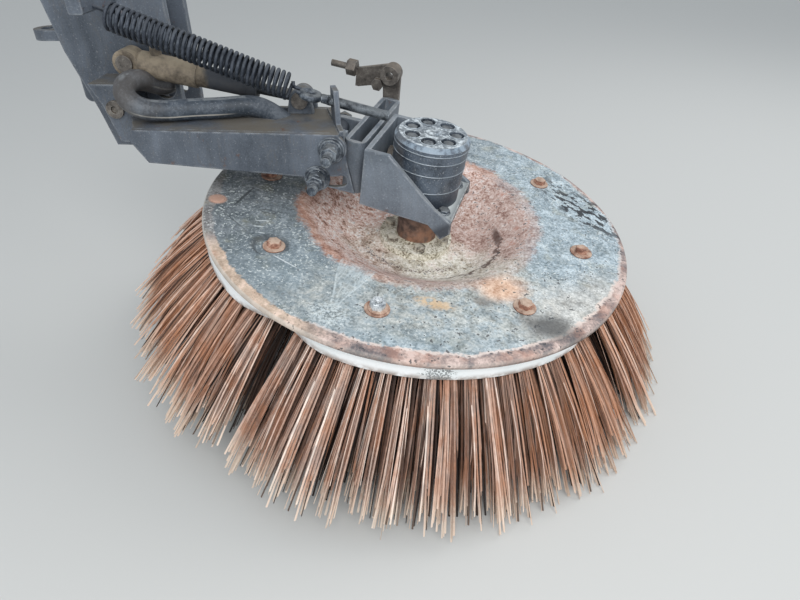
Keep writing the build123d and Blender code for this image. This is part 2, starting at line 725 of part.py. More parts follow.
# End bar across the arm, with the upright lug that the eye bolt passes through
end_run = Vector(REAR_RIGHT_X - TOP_RIGHT_X, ARM_INNER_REAR_Y - ARM_INNER_FRONT_Y, 0)
end_plane = Plane(
    origin=(TOP_RIGHT_X, ARM_INNER_FRONT_Y, ARM_TOP_Z), x_dir=end_run, z_dir=end_run.cross(Vector(0, 0, 1))
)
END_BAR_LENGTH = end_run.length - END_BAR_SHORT
EYE_LUG_AT = end_run.length * (SPRING_Y - ARM_INNER_FRONT_Y) / (ARM_INNER_REAR_Y - ARM_INNER_FRONT_Y)
eye_bolt_dir = Vector(
    math.cos(math.radians(EYE_BOLT_SLOPE)), 0, -math.sin(math.radians(EYE_BOLT_SLOPE))
)
eye_bolt_plane = Plane(origin=(EYE_X, SPRING_Y, EYE_Z), x_dir=(0, 1, 0), z_dir=eye_bolt_dir)
with BuildPart() as arm_end:
    with BuildSketch(end_plane):
        with BuildLine():
            Polyline(
                (0, 0),
                (0, END_BAR_RISE),
                (EYE_LUG_AT - EYE_LUG_WIDTH / 2, END_BAR_RISE),
                (EYE_LUG_AT - EYE_LUG_WIDTH / 2 + EYE_LUG_TAPER, EYE_LUG_RISE),
                (EYE_LUG_AT + EYE_LUG_WIDTH / 2 - EYE_LUG_TAPER, EYE_LUG_RISE),
                (EYE_LUG_AT + EYE_LUG_WIDTH / 2, END_BAR_RISE),
                (END_BAR_LENGTH, END_BAR_RISE),
                (END_BAR_LENGTH, 0),
                close=True,
            )
        make_face()
    extrude(amount=ARM_END_T)
    with BuildSketch(end_plane):
        with BuildLine():
            Polyline(
                (0, 0),
                (END_BAR_LENGTH, 0),
                (END_BAR_LENGTH, -ARM_TOP_T),
                (0, -ARM_TOP_T),
                close=True,
            )
        make_face()
    extrude(amount=ARM_END_T)
    with BuildSketch(eye_bolt_plane):
        Circle(EYE_BOLT_R + EYE_HOLE_PLAY)
    extrude(amount=EYE_BOLT_LENGTH, mode=Mode.SUBTRACT)
arm_end.part.label = "arm_end"
export_step(arm_end.part, "parts/arm_end.step")

# Knuckle of the arm: the boss on the pivot pin and two cheeks into the box
BOSS_FRONT_Y = LUG_FRONT_Y + LUG_T + SEAT_GAP
BOSS_REAR_Y = POST_FRONT_Y - SEAT_GAP
with BuildPart() as arm_knuckle:
    with BuildSketch(facing(BOSS_REAR_Y)):
        with Locations((PIVOT_X, PIVOT_Z)):
            Circle(BOSS_R)
    extrude(amount=BOSS_REAR_Y - BOSS_FRONT_Y)
    for rear in (ARM_INNER_REAR_Y, ARM_INNER_REAR_Y - CHEEK_SPACING):
        with BuildSketch(facing(rear)):
            with Locations((PIVOT_X, PIVOT_Z)):
                Circle(BOSS_R)
            with BuildLine():
                Polyline(
                    (PIVOT_X + CHEEK_ROOT / 2, PIVOT_Z - BOSS_R),
                    (PIVOT_X + CHEEK_ROOT, ARM_TOP_Z - ARM_TOP_T),
                    (REAR_LEFT_X + CHEEK_INSIDE, ARM_TOP_Z - ARM_TOP_T),
                    (REAR_LEFT_X + CHEEK_INSIDE, BOTTOM_LEFT[1] + ARM_BOTTOM_T - CHEEK_SLOPE),
                    (REAR_LEFT_X, BOTTOM_LEFT[1] + ARM_BOTTOM_T),
                    close=True,
                )
            make_face()
        extrude(amount=CHEEK_T)
    with BuildSketch(facing(POST_REAR_Y)):
        with Locations((PIVOT_X, PIVOT_Z)):
            Circle(PIVOT_PIN_R + PIN_FIT)
    extrude(amount=POST_REAR_Y - ARM_FRONT_Y, mode=Mode.SUBTRACT)
arm_knuckle.part.label = "arm_knuckle"
export_step(arm_knuckle.part, "parts/arm_knuckle.step")

# Clevis on the arm's top for the cylinder's rod
CLEVIS_HALF = ROD_EYE_WIDTH / 2 + CLEVIS_GAP
with BuildPart() as rod_clevis:
    for rear in (CYLINDER_Y - CLEVIS_HALF, CYLINDER_Y + CLEVIS_HALF + CLEVIS_T):
        with BuildSketch(facing(rear)):
            with Locations((ROD_PIN_X, ROD_PIN_Z)):
                Circle(CLEVIS_LUG_R)
            with Locations((ROD_PIN_X, ARM_TOP_Z)):
                Rectangle(CLEVIS_FOOT, CLEVIS_T / 2, align=(Align.CENTER, Align.MIN))
            make_hull()
            with Locations((ROD_PIN_X, ROD_PIN_Z)):
                Circle(CYLINDER_PIN_R, mode=Mode.SUBTRACT)
        extrude(amount=CLEVIS_T)
rod_clevis.part.label = "rod_clevis"
export_step(rod_clevis.part, "parts/rod_clevis.step")

with BuildPart() as rod_pin:
    with BuildSketch(facing(CYLINDER_Y + CLEVIS_HALF + CLEVIS_T)):
        with Locations((ROD_PIN_X, ROD_PIN_Z)):
            Circle(CYLINDER_PIN_R)
    extrude(amount=2 * (CLEVIS_HALF + CLEVIS_T))
    with BuildSketch(facing(CYLINDER_Y - CLEVIS_HALF - CLEVIS_T)):
        with Locations((ROD_PIN_X, ROD_PIN_Z)):
            Circle(CYLINDER_PIN_R + PIN_HEAD_LIP)
    extrude(amount=PIN_HEAD_T)
rod_pin.part.label = "rod_pin"
export_step(rod_pin.part, "parts/rod_pin.step")

# Eye bolt that pulls the arm's end to the spring
with BuildPart() as eye_bolt:
    with BuildSketch(eye_bolt_plane.offset(EYE_R)):
        Circle(EYE_BOLT_R)
    extrude(amount=EYE_BOLT_LENGTH - EYE_R)
    with BuildSketch(Plane(origin=eye_bolt_plane.origin, x_dir=eye_bolt_dir, z_dir=(0, -1, 0))):
        with Locations((EYE_R, 0)):
            Circle(EYE_WIRE_R)
    revolve(axis=Axis(eye_bolt_plane.origin, eye_bolt_plane.x_dir.cross(eye_bolt_dir)))
eye_bolt.part.label = "eye_bolt"
export_step(eye_bolt.part, "parts/eye_bolt.step")

# Tilt ring with its lugs
with BuildPart() as tilt_ring:
    ring_centre = ((RING_LEFT + RING_RIGHT) / 2, (RING_FRONT + RING_REAR) / 2)
    with BuildSketch(head.offset(RING_BOTTOM)):
        with Locations(ring_centre):
            RectangleRounded(RING_RIGHT - RING_LEFT, RING_REAR - RING_FRONT, RING_CORNER_R)
            Rectangle(
                RING_RIGHT - RING_LEFT - 2 * RING_T, RING_REAR - RING_FRONT - 2 * RING_T,
                mode=Mode.SUBTRACT,
            )
    extrude(amount=RING_TOP - RING_BOTTOM)
tilt_ring.part.label = "tilt_ring"
export_step(tilt_ring.part, "parts/tilt_ring.step")

# Lugs that the tilt bolts clamp, trimmed by the ring's left wall
ring_wall = head_section.from_local_coords((RING_LEFT, 0, 0))
wall_plane = Plane(origin=ring_wall, x_dir=head.y_dir, z_dir=head.x_dir)
with BuildPart() as tilt_lugs:
    for lug_front in (FRONT_LUG_Y, REAR_LUG_Y):
        with BuildSketch(facing(lug_front + TILT_LUG_T)):
            with Locations((BOLT_X, BOLT_Z), (LOWER_BOLT_X, LOWER_BOLT_Z)):
                Circle(LUG_EYE_R)
            with Locations((BOLT_X + LUG_ROOT_X, (BOLT_Z + LOWER_BOLT_Z) / 2)):
                Rectangle(TILT_LUG_T / 6, LUG_ROOT_HEIGHT)
            make_hull()
            with Locations((BOLT_X, BOLT_Z), (LOWER_BOLT_X, LOWER_BOLT_Z)):
                Circle(TILT_HOLE_R, mode=Mode.SUBTRACT)
        extrude(amount=TILT_LUG_T)
    split(bisect_by=wall_plane, keep=Keep.BOTTOM)
tilt_lugs.part.label = "tilt_lugs"
export_step(tilt_lugs.part, "parts/tilt_lugs.step")

# Adjuster that sets the side tilt: a strap up the ring's rear end to a bush, a side plate and a
# threaded rod along it
BUSH_Z = RING_TOP + BUSH_RISE
ring_rear = head_side(RING_REAR)
SIDE_PLATE_LEFT = BUSH_X - SIDE_PLATE_REACH
SIDE_PLATE_Z = BUSH_Z - SIDE_PLATE_DROP
rod_start = head_section.from_local_coords((SIDE_PLATE_LEFT, BUSH_Z - ADJUSTER_ROD_DROP, -RING_REAR))
with BuildPart() as tilt_adjuster:
    with BuildSketch(ring_rear):
        with Locations((BUSH_X, BUSH_Z)):
            Circle(BUSH_R)
        with Locations(((RING_LEFT + RING_RIGHT) / 2, RING_TOP - STRAP_DEPTH / 2)):
            Rectangle(STRAP_WIDTH, STRAP_DEPTH)
        make_hull()
    extrude(amount=-ADJUSTER_T)
    with BuildSketch(ring_rear):
        with Locations((BUSH_X, BUSH_Z)):
            Circle(BUSH_R)
        with Locations((SIDE_PLATE_LEFT + SIDE_PLATE_EDGE / 2, SIDE_PLATE_Z)):
            Rectangle(SIDE_PLATE_EDGE, SIDE_PLATE_HEIGHT)
        make_hull()
    extrude(amount=-ADJUSTER_T)
    with BuildSketch(ring_rear.offset(BUSH_LENGTH / 2)):
        with Locations((BUSH_X, BUSH_Z)):
            Circle(BUSH_R)
    extrude(amount=-BUSH_LENGTH)
    with BuildSketch(ring_rear.offset(STOP_BOLT_HEAD_T)):
        with Locations((BUSH_X - STOP_BOLT_LEFT, BUSH_Z - STOP_BOLT_DROP)):
            RegularPolygon(STOP_BOLT_HEAD_R, 6)
    extrude(amount=-STOP_BOLT_HEAD_T)
    with BuildSketch(Plane(origin=rod_start, x_dir=head.y_dir, z_dir=-head.x_dir)):
        RegularPolygon(ADJUSTER_NUT_R, 6)
    extrude(amount=ADJUSTER_NUT_T)
    with BuildSketch(Plane(origin=rod_start, x_dir=head.y_dir, z_dir=-head.x_dir)):
        Circle(ADJUSTER_ROD_R)
    extrude(amount=ADJUSTER_ROD_LENGTH)
    with BuildSketch(ring_rear.offset(BUSH_LENGTH)):
        with Locations((BUSH_X, BUSH_Z)):
            Circle(BUSH_BORE_R)
    extrude(amount=-2 * BUSH_LENGTH, mode=Mode.SUBTRACT)
tilt_adjuster.part.label = "tilt_adjuster"
export_step(tilt_adjuster.part, "parts/tilt_adjuster.step")

# Spacer tubes between the ear, the lugs and the rear plate
spacer_spans = [
    (ARM_INNER_FRONT_Y, FRONT_LUG_Y),
    (FRONT_LUG_Y + TILT_LUG_T, REAR_LUG_Y),
    (REAR_LUG_Y + TILT_LUG_T, ARM_INNER_REAR_Y),
]
with BuildPart() as tilt_spacers:
    for front, rear in spacer_spans:
        with BuildSketch(facing(rear)):
            with Locations((BOLT_X, BOLT_Z), (LOWER_BOLT_X, LOWER_BOLT_Z)):
                Circle(SPACER_R)
                Circle(TILT_HOLE_R, mode=Mode.SUBTRACT)
        extrude(amount=rear - front)
tilt_spacers.part.label = "tilt_spacers"
export_step(tilt_spacers.part, "parts/tilt_spacers.step")

bolt_places = {
    "tilt_bolt_upper": (BOLT_X, BOLT_Z),
    "tilt_bolt_lower": (LOWER_BOLT_X, LOWER_BOLT_Z),
}
for name, place in bolt_places.items():
    with BuildPart() as tilt_bolt:
        with BuildSketch(facing(ARM_REAR_Y)):
            with Locations(place):
                Circle(TILT_BOLT_R)
        extrude(amount=ARM_REAR_Y - ARM_FRONT_Y + BOLT_STICK_OUT)
        with BuildSketch(facing(ARM_REAR_Y + NUT_T)):
            with Locations(place):
                RegularPolygon(NUT_R, 6)
        extrude(amount=NUT_T)
        with BuildSketch(facing(ARM_FRONT_Y)):
            with Locations(place):
                Circle(WASHER_R)
        extrude(amount=WASHER_T)
        with BuildSketch(facing(ARM_FRONT_Y - WASHER_T)):
            with Locations(place):
                RegularPolygon(NUT_R, 6)
        extrude(amount=NUT_T)
    tilt_bolt.part.label = name
    export_step(tilt_bolt.part, f"parts/{name}.step")

# Motor bracket: back, base and two cheeks
BRACKET_INNER_WIDTH = 2 * (BRACKET_HALF_WIDTH - BRACKET_T)
back_origin = head_section.from_local_coords((BRACKET_LEFT, 0, 0))
with BuildPart() as bracket_back:
    with BuildSketch(Plane(origin=back_origin, x_dir=head.y_dir, z_dir=head.x_dir)):
        with Locations((0, (BACK_TOP + BASE_TOP) / 2)):
            Rectangle(BRACKET_INNER_WIDTH, BACK_TOP - BASE_TOP)
    extrude(amount=BRACKET_T)
bracket_back.part.label = "bracket_back"
export_step(bracket_back.part, "parts/bracket_back.step")

pad_origin = head_section.from_local_coords((RING_RIGHT, 0, 0))
PAD_HEIGHT = (RING_BOTTOM + RING_TOP) / 2
with BuildPart() as bracket_pads:
    with BuildSketch(Plane(origin=pad_origin, x_dir=head.y_dir, z_dir=head.x_dir)):
        with Locations((PAD_Y - PAD_SPACING / 2, PAD_HEIGHT), (PAD_Y + PAD_SPACING / 2, PAD_HEIGHT)):
            Circle(PAD_R)
    extrude(amount=BRACKET_LEFT - RING_RIGHT)
bracket_pads.part.label = "bracket_pads"
export_step(bracket_pads.part, "parts/bracket_pads.step")

with BuildPart() as bracket_base:
    with BuildSketch(head.offset(BASE_TOP - BRACKET_T)):
        with Locations(((BRACKET_LEFT + BRACKET_RIGHT) / 2, 0)):
            Rectangle(BRACKET_RIGHT - BRACKET_LEFT, BRACKET_INNER_WIDTH)
        Circle(SHAFT_HOLE_R, mode=Mode.SUBTRACT)
    extrude(amount=BRACKET_T)
bracket_base.part.label = "bracket_base"
export_step(bracket_base.part, "parts/bracket_base.step")

cheek_sides = {
    "bracket_cheek_front": -BRACKET_HALF_WIDTH + BRACKET_T,
    "bracket_cheek_rear": BRACKET_HALF_WIDTH,
}
for name, inner in cheek_sides.items():
    with BuildPart() as cheek:
        with BuildSketch(head_side(inner)):
            with BuildLine():
                Polyline(
                    (BRACKET_LEFT, BACK_TOP),
                    (BRACKET_LEFT + CHEEK_TOP_WIDTH, BACK_TOP),
                    (BRACKET_LEFT + CHEEK_KNEE_X, BASE_TOP + CHEEK_KNEE_RISE),
                    (BRACKET_RIGHT, BASE_TOP),
                    (BRACKET_RIGHT + CHEEK_NOSE, BASE_TOP - CHEEK_NOSE_DROP),
                    (BRACKET_RIGHT - CHEEK_TOE_X, BASE_TOP - CHEEK_TOE_DROP),
                    (BRACKET_RIGHT - CHEEK_ARCH_X, BASE_TOP - CHEEK_ARCH_DROP),
                    (BRACKET_LEFT, BASE_TOP - BRACKET_T),
                    close=True,
                )
            make_face()
        extrude(amount=BRACKET_T)
    cheek.part.label = name
    export_step(cheek.part, f"parts/{name}.step")

# Motor
FLANGE_TOP = BASE_TOP + MOTOR_FLANGE_T
with BuildPart() as motor_flange:
    with BuildSketch(head.offset(BASE_TOP)):
        RectangleRounded(MOTOR_FLANGE_SIZE, MOTOR_FLANGE_SIZE, MOTOR_FLANGE_SIZE / 6)
        Circle(FLANGE_HOLE_R, mode=Mode.SUBTRACT)
    extrude(amount=MOTOR_FLANGE_T)
motor_flange.part.label = "motor_flange"
export_step(motor_flange.part, "parts/motor_flange.step")

with BuildPart() as motor_body:
    with BuildSketch(head_section):
        with BuildLine():
            Polyline(
                (0, FLANGE_TOP + SHAFT_DEPTH + SHAFT_END_GAP),
                (SHAFT_R + SEAT_GAP, FLANGE_TOP + SHAFT_DEPTH + SHAFT_END_GAP),
                (SHAFT_R + SEAT_GAP, FLANGE_TOP),
                (MOTOR_R, FLANGE_TOP),
                (MOTOR_R, MOTOR_STEP),
                (MOTOR_BODY_R, MOTOR_STEP),
                (MOTOR_BODY_R, CAP_BOTTOM),
                (0, CAP_BOTTOM),
                close=True,
            )
        make_face()
    revolve(axis=spin_axis)
motor_body.part.label = "motor_body"
export_step(motor_body.part, "parts/motor_body.step")

with BuildPart() as motor_cap:
    with BuildSketch(head.offset(CAP_BOTTOM)):
        Circle(CAP_R)
    extrude(amount=CAP_TOP - CAP_BOTTOM)
    chamfer(motor_cap.faces().sort_by(spin_axis)[-1].edges(), CAP_CHAMFER)
    with BuildSketch(head.offset(CAP_TOP - CAP_SINK_DEPTH)):
        with PolarLocations(CAP_BOLT_CIRCLE_R, CAP_BOLT_COUNT):
            Circle(CAP_SINK_R)
    extrude(amount=2 * CAP_SINK_DEPTH, mode=Mode.SUBTRACT)
    with BuildSketch(head.offset(CAP_TOP)):
        Circle(CAP_PLUG_R)
    extrude(amount=CAP_PLUG_RISE)
motor_cap.part.label = "motor_cap"
export_step(motor_cap.part, "parts/motor_cap.step")

with BuildPart() as motor_bolts:
    with BuildSketch(head.offset(CAP_TOP - CAP_SINK_DEPTH)):
        with PolarLocations(CAP_BOLT_CIRCLE_R, CAP_BOLT_COUNT):
            RegularPolygon(MOTOR_BOLT_R, 6)
    extrude(amount=CAP_SINK_DEPTH + MOTOR_BOLT_RISE)
motor_bolts.part.label = "motor_bolts"
export_step(motor_bolts.part, "parts/motor_bolts.step")

with BuildPart() as motor_ports:
    port_outer = head_section.from_local_coords((-MOTOR_R - MOTOR_PORT_LENGTH, 0, 0))
    with BuildSketch(Plane(origin=port_outer, x_dir=head.y_dir, z_dir=head.x_dir)):
        with Locations(
            (-MOTOR_PORT_SPACING / 2, MOTOR_PORT_HEIGHT), (MOTOR_PORT_SPACING / 2, MOTOR_PORT_HEIGHT)
        ):
            RegularPolygon(MOTOR_PORT_R, 6)
    extrude(amount=MOTOR_PORT_LENGTH + MOTOR_R / 2)
    with BuildSketch(head.offset(MOTOR_PORT_HEIGHT - 2 * MOTOR_PORT_R)):
        Circle(MOTOR_R)
    extrude(amount=4 * MOTOR_PORT_R, mode=Mode.SUBTRACT)
motor_ports.part.label = "motor_ports"
export_step(motor_ports.part, "parts/motor_ports.step")

# Brush: hub and disc
BOWL_FLOOR = -BOWL_DEPTH
HUB_TOP = BASE_TOP - BRACKET_T - HUB_CLEARANCE
with BuildPart() as hub:
    with BuildSketch(head_section):
        with BuildLine():
            Polyline(
                (0, BOWL_FLOOR),
                (HUB_FLANGE_R, BOWL_FLOOR),
                (HUB_FLANGE_R, BOWL_FLOOR + HUB_FLANGE_T),
                (HUB_R, BOWL_FLOOR + HUB_FLANGE_T),
                (HUB_R, HUB_TOP - HUB_TOP_T),
                (HUB_TOP_R, HUB_TOP - HUB_TOP_T),
                (HUB_TOP_R, HUB_TOP),
                (SHAFT_R, HUB_TOP),
                (SHAFT_R, FLANGE_TOP + SHAFT_DEPTH),
                (0, FLANGE_TOP + SHAFT_DEPTH),
                close=True,
            )
        make_face()
    revolve(axis=spin_axis)
hub.part.label = "hub"
export_step(hub.part, "parts/hub.step")

HALF_T = DISC_T / 2
with BuildPart() as brush_disc:
    with BuildSketch(head_section):
        with BuildLine():
            FilletPolyline(
                (SHAFT_R, BOWL_FLOOR - HALF_T),
                (BOWL_FLOOR_R, BOWL_FLOOR - HALF_T),
                (BOWL_R, -HALF_T),
                (DISC_R - HALF_T, -HALF_T),
                (DISC_R - HALF_T, -RIM_DROP),
                radius=(BOWL_BEND_R, BOWL_BEND_R, RIM_R),
            )
        trace(line_width=DISC_T)
    revolve(axis=spin_axis)
    with BuildSketch(head.offset(-2 * DISC_T)):
        with PolarLocations(DISC_BOLT_CIRCLE_R, DISC_BOLT_COUNT, start_angle=DISC_BOLT_TURN):
            Circle(DISC_BOLT_R + SEAT_GAP)
    extrude(amount=4 * DISC_T, mode=Mode.SUBTRACT)
brush_disc.part.label = "brush_disc"
export_step(brush_disc.part, "parts/brush_disc.step")

with BuildPart() as disc_bolts:
    with BuildSketch(head.offset(-DISC_T)):
        with PolarLocations(DISC_BOLT_CIRCLE_R, DISC_BOLT_COUNT, start_angle=DISC_BOLT_TURN):
            Circle(DISC_BOLT_R)
    extrude(amount=DISC_T)
    with BuildSketch(head):
        with PolarLocations(DISC_BOLT_CIRCLE_R, DISC_BOLT_COUNT, start_angle=DISC_BOLT_TURN):
            Circle(DISC_BOLT_WASHER_R)
    extrude(amount=DISC_BOLT_WASHER_T)
    with BuildSketch(head.offset(DISC_BOLT_WASHER_T)):
        with PolarLocations(DISC_BOLT_CIRCLE_R, DISC_BOLT_COUNT, start_angle=DISC_BOLT_TURN):
            RegularPolygon(DISC_BOLT_HEAD_R, 6)
    extrude(amount=DISC_BOLT_HEAD_T)
disc_bolts.part.label = "disc_bolts"
export_step(disc_bolts.part, "parts/disc_bolts.step")


def polar(radius, degrees):
    angle = math.radians(degrees)
    return (radius * math.cos(angle), radius * math.sin(angle))


def tuft_ring(first, last, inner_r, outer_r, groove):
    # Closed outline of a sector: plain inside, one flat-topped tooth for each tuft outside
    step = (last - first) / TUFT_COUNT
    outline = []
    for tuft in range(TUFT_COUNT):
        middle = first + (tuft + 0.5) * step
        half_face = TUFT_FACE_SHARE * step / 2
        outline.append(polar(outer_r - groove, middle - step / 2))
        outline.append(polar(outer_r, middle - half_face))
        outline.append(polar(outer_r, middle + half_face))
    outline.append(polar(outer_r - groove, last))
    for corner in range(7):
        outline.append(polar(inner_r, last - corner * (last - first) / 6))
    return outline


SECTOR_ANGLE = 360 / SECTOR_COUNT
for sector in range(SECTOR_COUNT):
    middle_angle = SECTOR_TURN + (sector + 0.5) * SECTOR_ANGLE
    gap_angle = math.degrees(SECTOR_GAP / BLOCK_OUTER_R)
    first_angle = middle_angle - SECTOR_ANGLE / 2 + gap_angle / 2
    last_angle = middle_angle + SECTOR_ANGLE / 2 - gap_angle / 2

    with BuildPart() as block:
        with BuildSketch(head.offset(-DISC_T - BLOCK_T)):
            with BuildLine():
                CenterArc((0, 0), BLOCK_OUTER_R, first_angle, last_angle - first_angle)
                CenterArc((0, 0), BLOCK_INNER_R, first_angle, last_angle - first_angle)
                Line(polar(BLOCK_INNER_R, first_angle), polar(BLOCK_OUTER_R, first_angle))
                Line(polar(BLOCK_INNER_R, last_angle), polar(BLOCK_OUTER_R, last_angle))
            make_face()
        extrude(amount=BLOCK_T)
        top_edges = block.faces().sort_by(spin_axis)[-1].edges().filter_by(GeomType.CIRCLE)
        chamfer(top_edges.sort_by(SortBy.RADIUS)[-1], BLOCK_CHAMFER)
    block.part.label = f"brush_block_{sector + 1}"
    export_step(block.part, f"parts/brush_block_{sector + 1}.step")

    # The tufts start short of the sector's ends and spread over the joint at their tips
    first_tuft = first_angle + TUFT_END_ANGLE
    last_tuft = last_angle - TUFT_END_ANGLE
    with BuildPart() as bristles:
        with BuildSketch(head.offset(-DISC_T - BLOCK_T)):
            Polygon(
                *tuft_ring(first_tuft, last_tuft, BRISTLE_TOP_INNER_R, BRISTLE_TOP_OUTER_R,
                           TUFT_GROOVE_TOP),
                align=None,
            )
        with BuildSketch(head.offset(-BRISTLE_TIP_DROP)):
            Polygon(
                *tuft_ring(first_angle, last_angle, BRISTLE_TIP_INNER_R, BRISTLE_TIP_OUTER_R,
                           TUFT_GROOVE_TIP),
                align=None,
            )
        loft(ruled=True)
    bristles.part.label = f"bristles_{sector + 1}"
    export_step(bristles.part, f"parts/bristles_{sector + 1}.step")

# Spring: one tube of its outer shape between the anchor's hook and the eye
spring_dir = Vector(EYE_X - ANCHOR_X, 0, EYE_Z - ANCHOR_Z)
spring = Plane(origin=(ANCHOR_X, SPRING_Y, ANCHOR_Z), x_dir=(0, 1, 0), z_dir=spring_dir)
SPRING_FROM = UPPER_HOOK_X
SPRING_TO = EYE_X - LOWER_HOOK_X - ANCHOR_X
SPRING_WIRE_T = 2 * SPRING_WIRE_R
UPPER_HOOK = ANCHOR_BAR / 2 + SPRING_WIRE_R / 2 + SEAT_GAP
LOWER_HOOK = spring_dir.length - EYE_R - EYE_WIRE_R - SEAT_GAP
with BuildPart() as lift_spring:
    with BuildSketch(spring.offset(SPRING_FROM)):
        Circle(SPRING_R)
    extrude(amount=SPRING_TO - SPRING_FROM)
    with BuildSketch(spring.offset(SPRING_FROM + SPRING_WIRE_T)):
        Circle(SPRING_R - SPRING_WIRE_T)
    extrude(amount=SPRING_TO - SPRING_FROM - 2 * SPRING_WIRE_T, mode=Mode.SUBTRACT)
    with BuildSketch(spring.offset(UPPER_HOOK)):
        Circle(SPRING_WIRE_R)
    extrude(amount=SPRING_FROM - UPPER_HOOK)
    with BuildSketch(spring.offset(SPRING_TO)):
        Circle(SPRING_WIRE_R)
    extrude(amount=LOWER_HOOK - SPRING_TO)
lift_spring.part.label = "lift_spring"
export_step(lift_spring.part, "parts/lift_spring.step")

# Hose sleeve: out of the arm's notch, along its top, round the pivot and through the post
HOSE_ON_ARM = ARM_TOP_Z + HOSE_R
hose_route = [
    (NOTCH_RIGHT + 34, ARM_INNER_REAR_Y - 29, ARM_TOP_Z - 41),
    (NOTCH_RIGHT - 2, ARM_INNER_REAR_Y - 31, ARM_TOP_Z - 27),
    (NOTCH_RIGHT - 26, ARM_INNER_REAR_Y - 35, ARM_TOP_Z - 2),
    (NOTCH_RIGHT - 50, ARM_INNER_REAR_Y - 42, HOSE_ON_ARM + 3),
    (NOTCH_RIGHT - 92, ARM_INNER_REAR_Y - 51, HOSE_ON_ARM + 1.5),
    (PIVOT_X + 138, LUG_FRONT_Y - 11, HOSE_ON_ARM + 2),
    (PIVOT_X + 90, LUG_FRONT_Y - 21, HOSE_ON_ARM + 1),
    (PIVOT_X + 48, LUG_FRONT_Y - 28, HOSE_ON_ARM + 6),
    (PIVOT_X + 34, LUG_FRONT_Y - 23, HOSE_ON_ARM + 28),
    (PIVOT_X + 44, LUG_FRONT_Y - 2, HOSE_ON_ARM + 32),
    (PIVOT_X + 56, LUG_FRONT_Y + 22, HOSE_ON_ARM + 14),
    (HOSE_WINDOW_X, POST_FRONT_Y - 15, HOSE_WINDOW_Z),
    (HOSE_WINDOW_X, POST_REAR_Y + 10, HOSE_WINDOW_Z),
]


def corner_radii(points):
    # 0.45 of the shorter run beside each corner, over the tangent of half the turn
    radii = []
    for before, corner, after in zip(points, points[1:], points[2:]):
        arrive = Vector(corner) - Vector(before)
        leave = Vector(after) - Vector(corner)
        half_turn = math.radians(arrive.get_angle(leave)) / 2
        radii.append(0.45 * min(arrive.length, leave.length) / math.tan(half_turn))
    return radii


hose_radii = corner_radii(hose_route)
print("hose radii", [round(radius) for radius in hose_radii])
with BuildPart() as hose_sleeve:
    with BuildLine() as hose_line:
        FilletPolyline(*hose_route, radius=hose_radii)
    hose_path = hose_line.wire()
    with BuildSketch(Plane(origin=hose_path @ 0, z_dir=hose_path % 0)):
        Circle(HOSE_R)
    sweep(path=hose_path)
hose_sleeve.part.label = "hose_sleeve"
hose_volume = math.pi * HOSE_R**2 * hose_path.length
print("hose length", round(hose_path.length))
print("hose volume against section times length", round(hose_sleeve.part.volume / hose_volume, 4))
export_step(hose_sleeve.part, "parts/hose_sleeve.step")
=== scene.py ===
# %% [markdown]
# # The side brush of a street sweeper
# The solids of this brush unit come from a CAD model that is already right in shape and size. What is
# left for Blender is what a photograph shows and a solid doesn't: single wires, threads, coils, a hose
# and paint that has seen years of grit. Each step first says what the thing is on the real machine,
# how it could be made, and why one way was chosen.

# %% Load the model
import json
import math
import random

import bmesh
import bpy
from mathutils import Matrix, Vector, noise

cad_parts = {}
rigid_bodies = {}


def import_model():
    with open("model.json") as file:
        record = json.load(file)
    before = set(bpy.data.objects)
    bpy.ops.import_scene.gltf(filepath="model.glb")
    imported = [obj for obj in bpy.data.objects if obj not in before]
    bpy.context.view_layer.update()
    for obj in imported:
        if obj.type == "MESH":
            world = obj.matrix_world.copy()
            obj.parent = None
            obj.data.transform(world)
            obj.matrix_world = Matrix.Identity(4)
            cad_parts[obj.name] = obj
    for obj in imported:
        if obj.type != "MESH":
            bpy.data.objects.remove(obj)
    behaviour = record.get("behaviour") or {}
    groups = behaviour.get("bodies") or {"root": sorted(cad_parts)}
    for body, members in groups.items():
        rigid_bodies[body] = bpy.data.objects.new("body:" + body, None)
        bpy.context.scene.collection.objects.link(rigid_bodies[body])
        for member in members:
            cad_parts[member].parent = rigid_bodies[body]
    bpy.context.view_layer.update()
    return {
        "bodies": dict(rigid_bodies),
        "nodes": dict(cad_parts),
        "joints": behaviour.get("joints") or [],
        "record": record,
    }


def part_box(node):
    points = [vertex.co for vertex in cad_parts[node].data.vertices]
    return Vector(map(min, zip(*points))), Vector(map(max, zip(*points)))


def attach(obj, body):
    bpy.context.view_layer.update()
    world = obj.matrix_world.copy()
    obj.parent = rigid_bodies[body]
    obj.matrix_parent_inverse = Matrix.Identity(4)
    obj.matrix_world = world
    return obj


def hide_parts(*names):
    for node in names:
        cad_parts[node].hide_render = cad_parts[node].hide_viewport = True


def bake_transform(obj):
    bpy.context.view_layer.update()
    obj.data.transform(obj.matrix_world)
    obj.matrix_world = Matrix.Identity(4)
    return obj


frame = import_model()
nodes = frame["nodes"]

# %% [markdown]
# ## Camera
# The photograph was taken close beside the brush, from about 0.7 m above the road and tipped well down.
# The place and the lens were worked out from the disc's outline and its bolts, so that the model lines
# up with the picture and every proportion can be compared by eye.

# %% Camera
camera_data = bpy.data.cameras.new("standing_view")
camera_data.sensor_width = 36
camera_data.lens = 27
camera = bpy.data.objects.new("standing_view", camera_data)
camera.location = (0.5507, -1.0978, 0.2084)
camera.rotation_euler = (math.radians(55), 0, math.radians(4))
bpy.context.scene.collection.objects.link(camera)
bpy.context.scene.camera = camera
bpy.context.scene.view_settings.view_transform = "Standard"
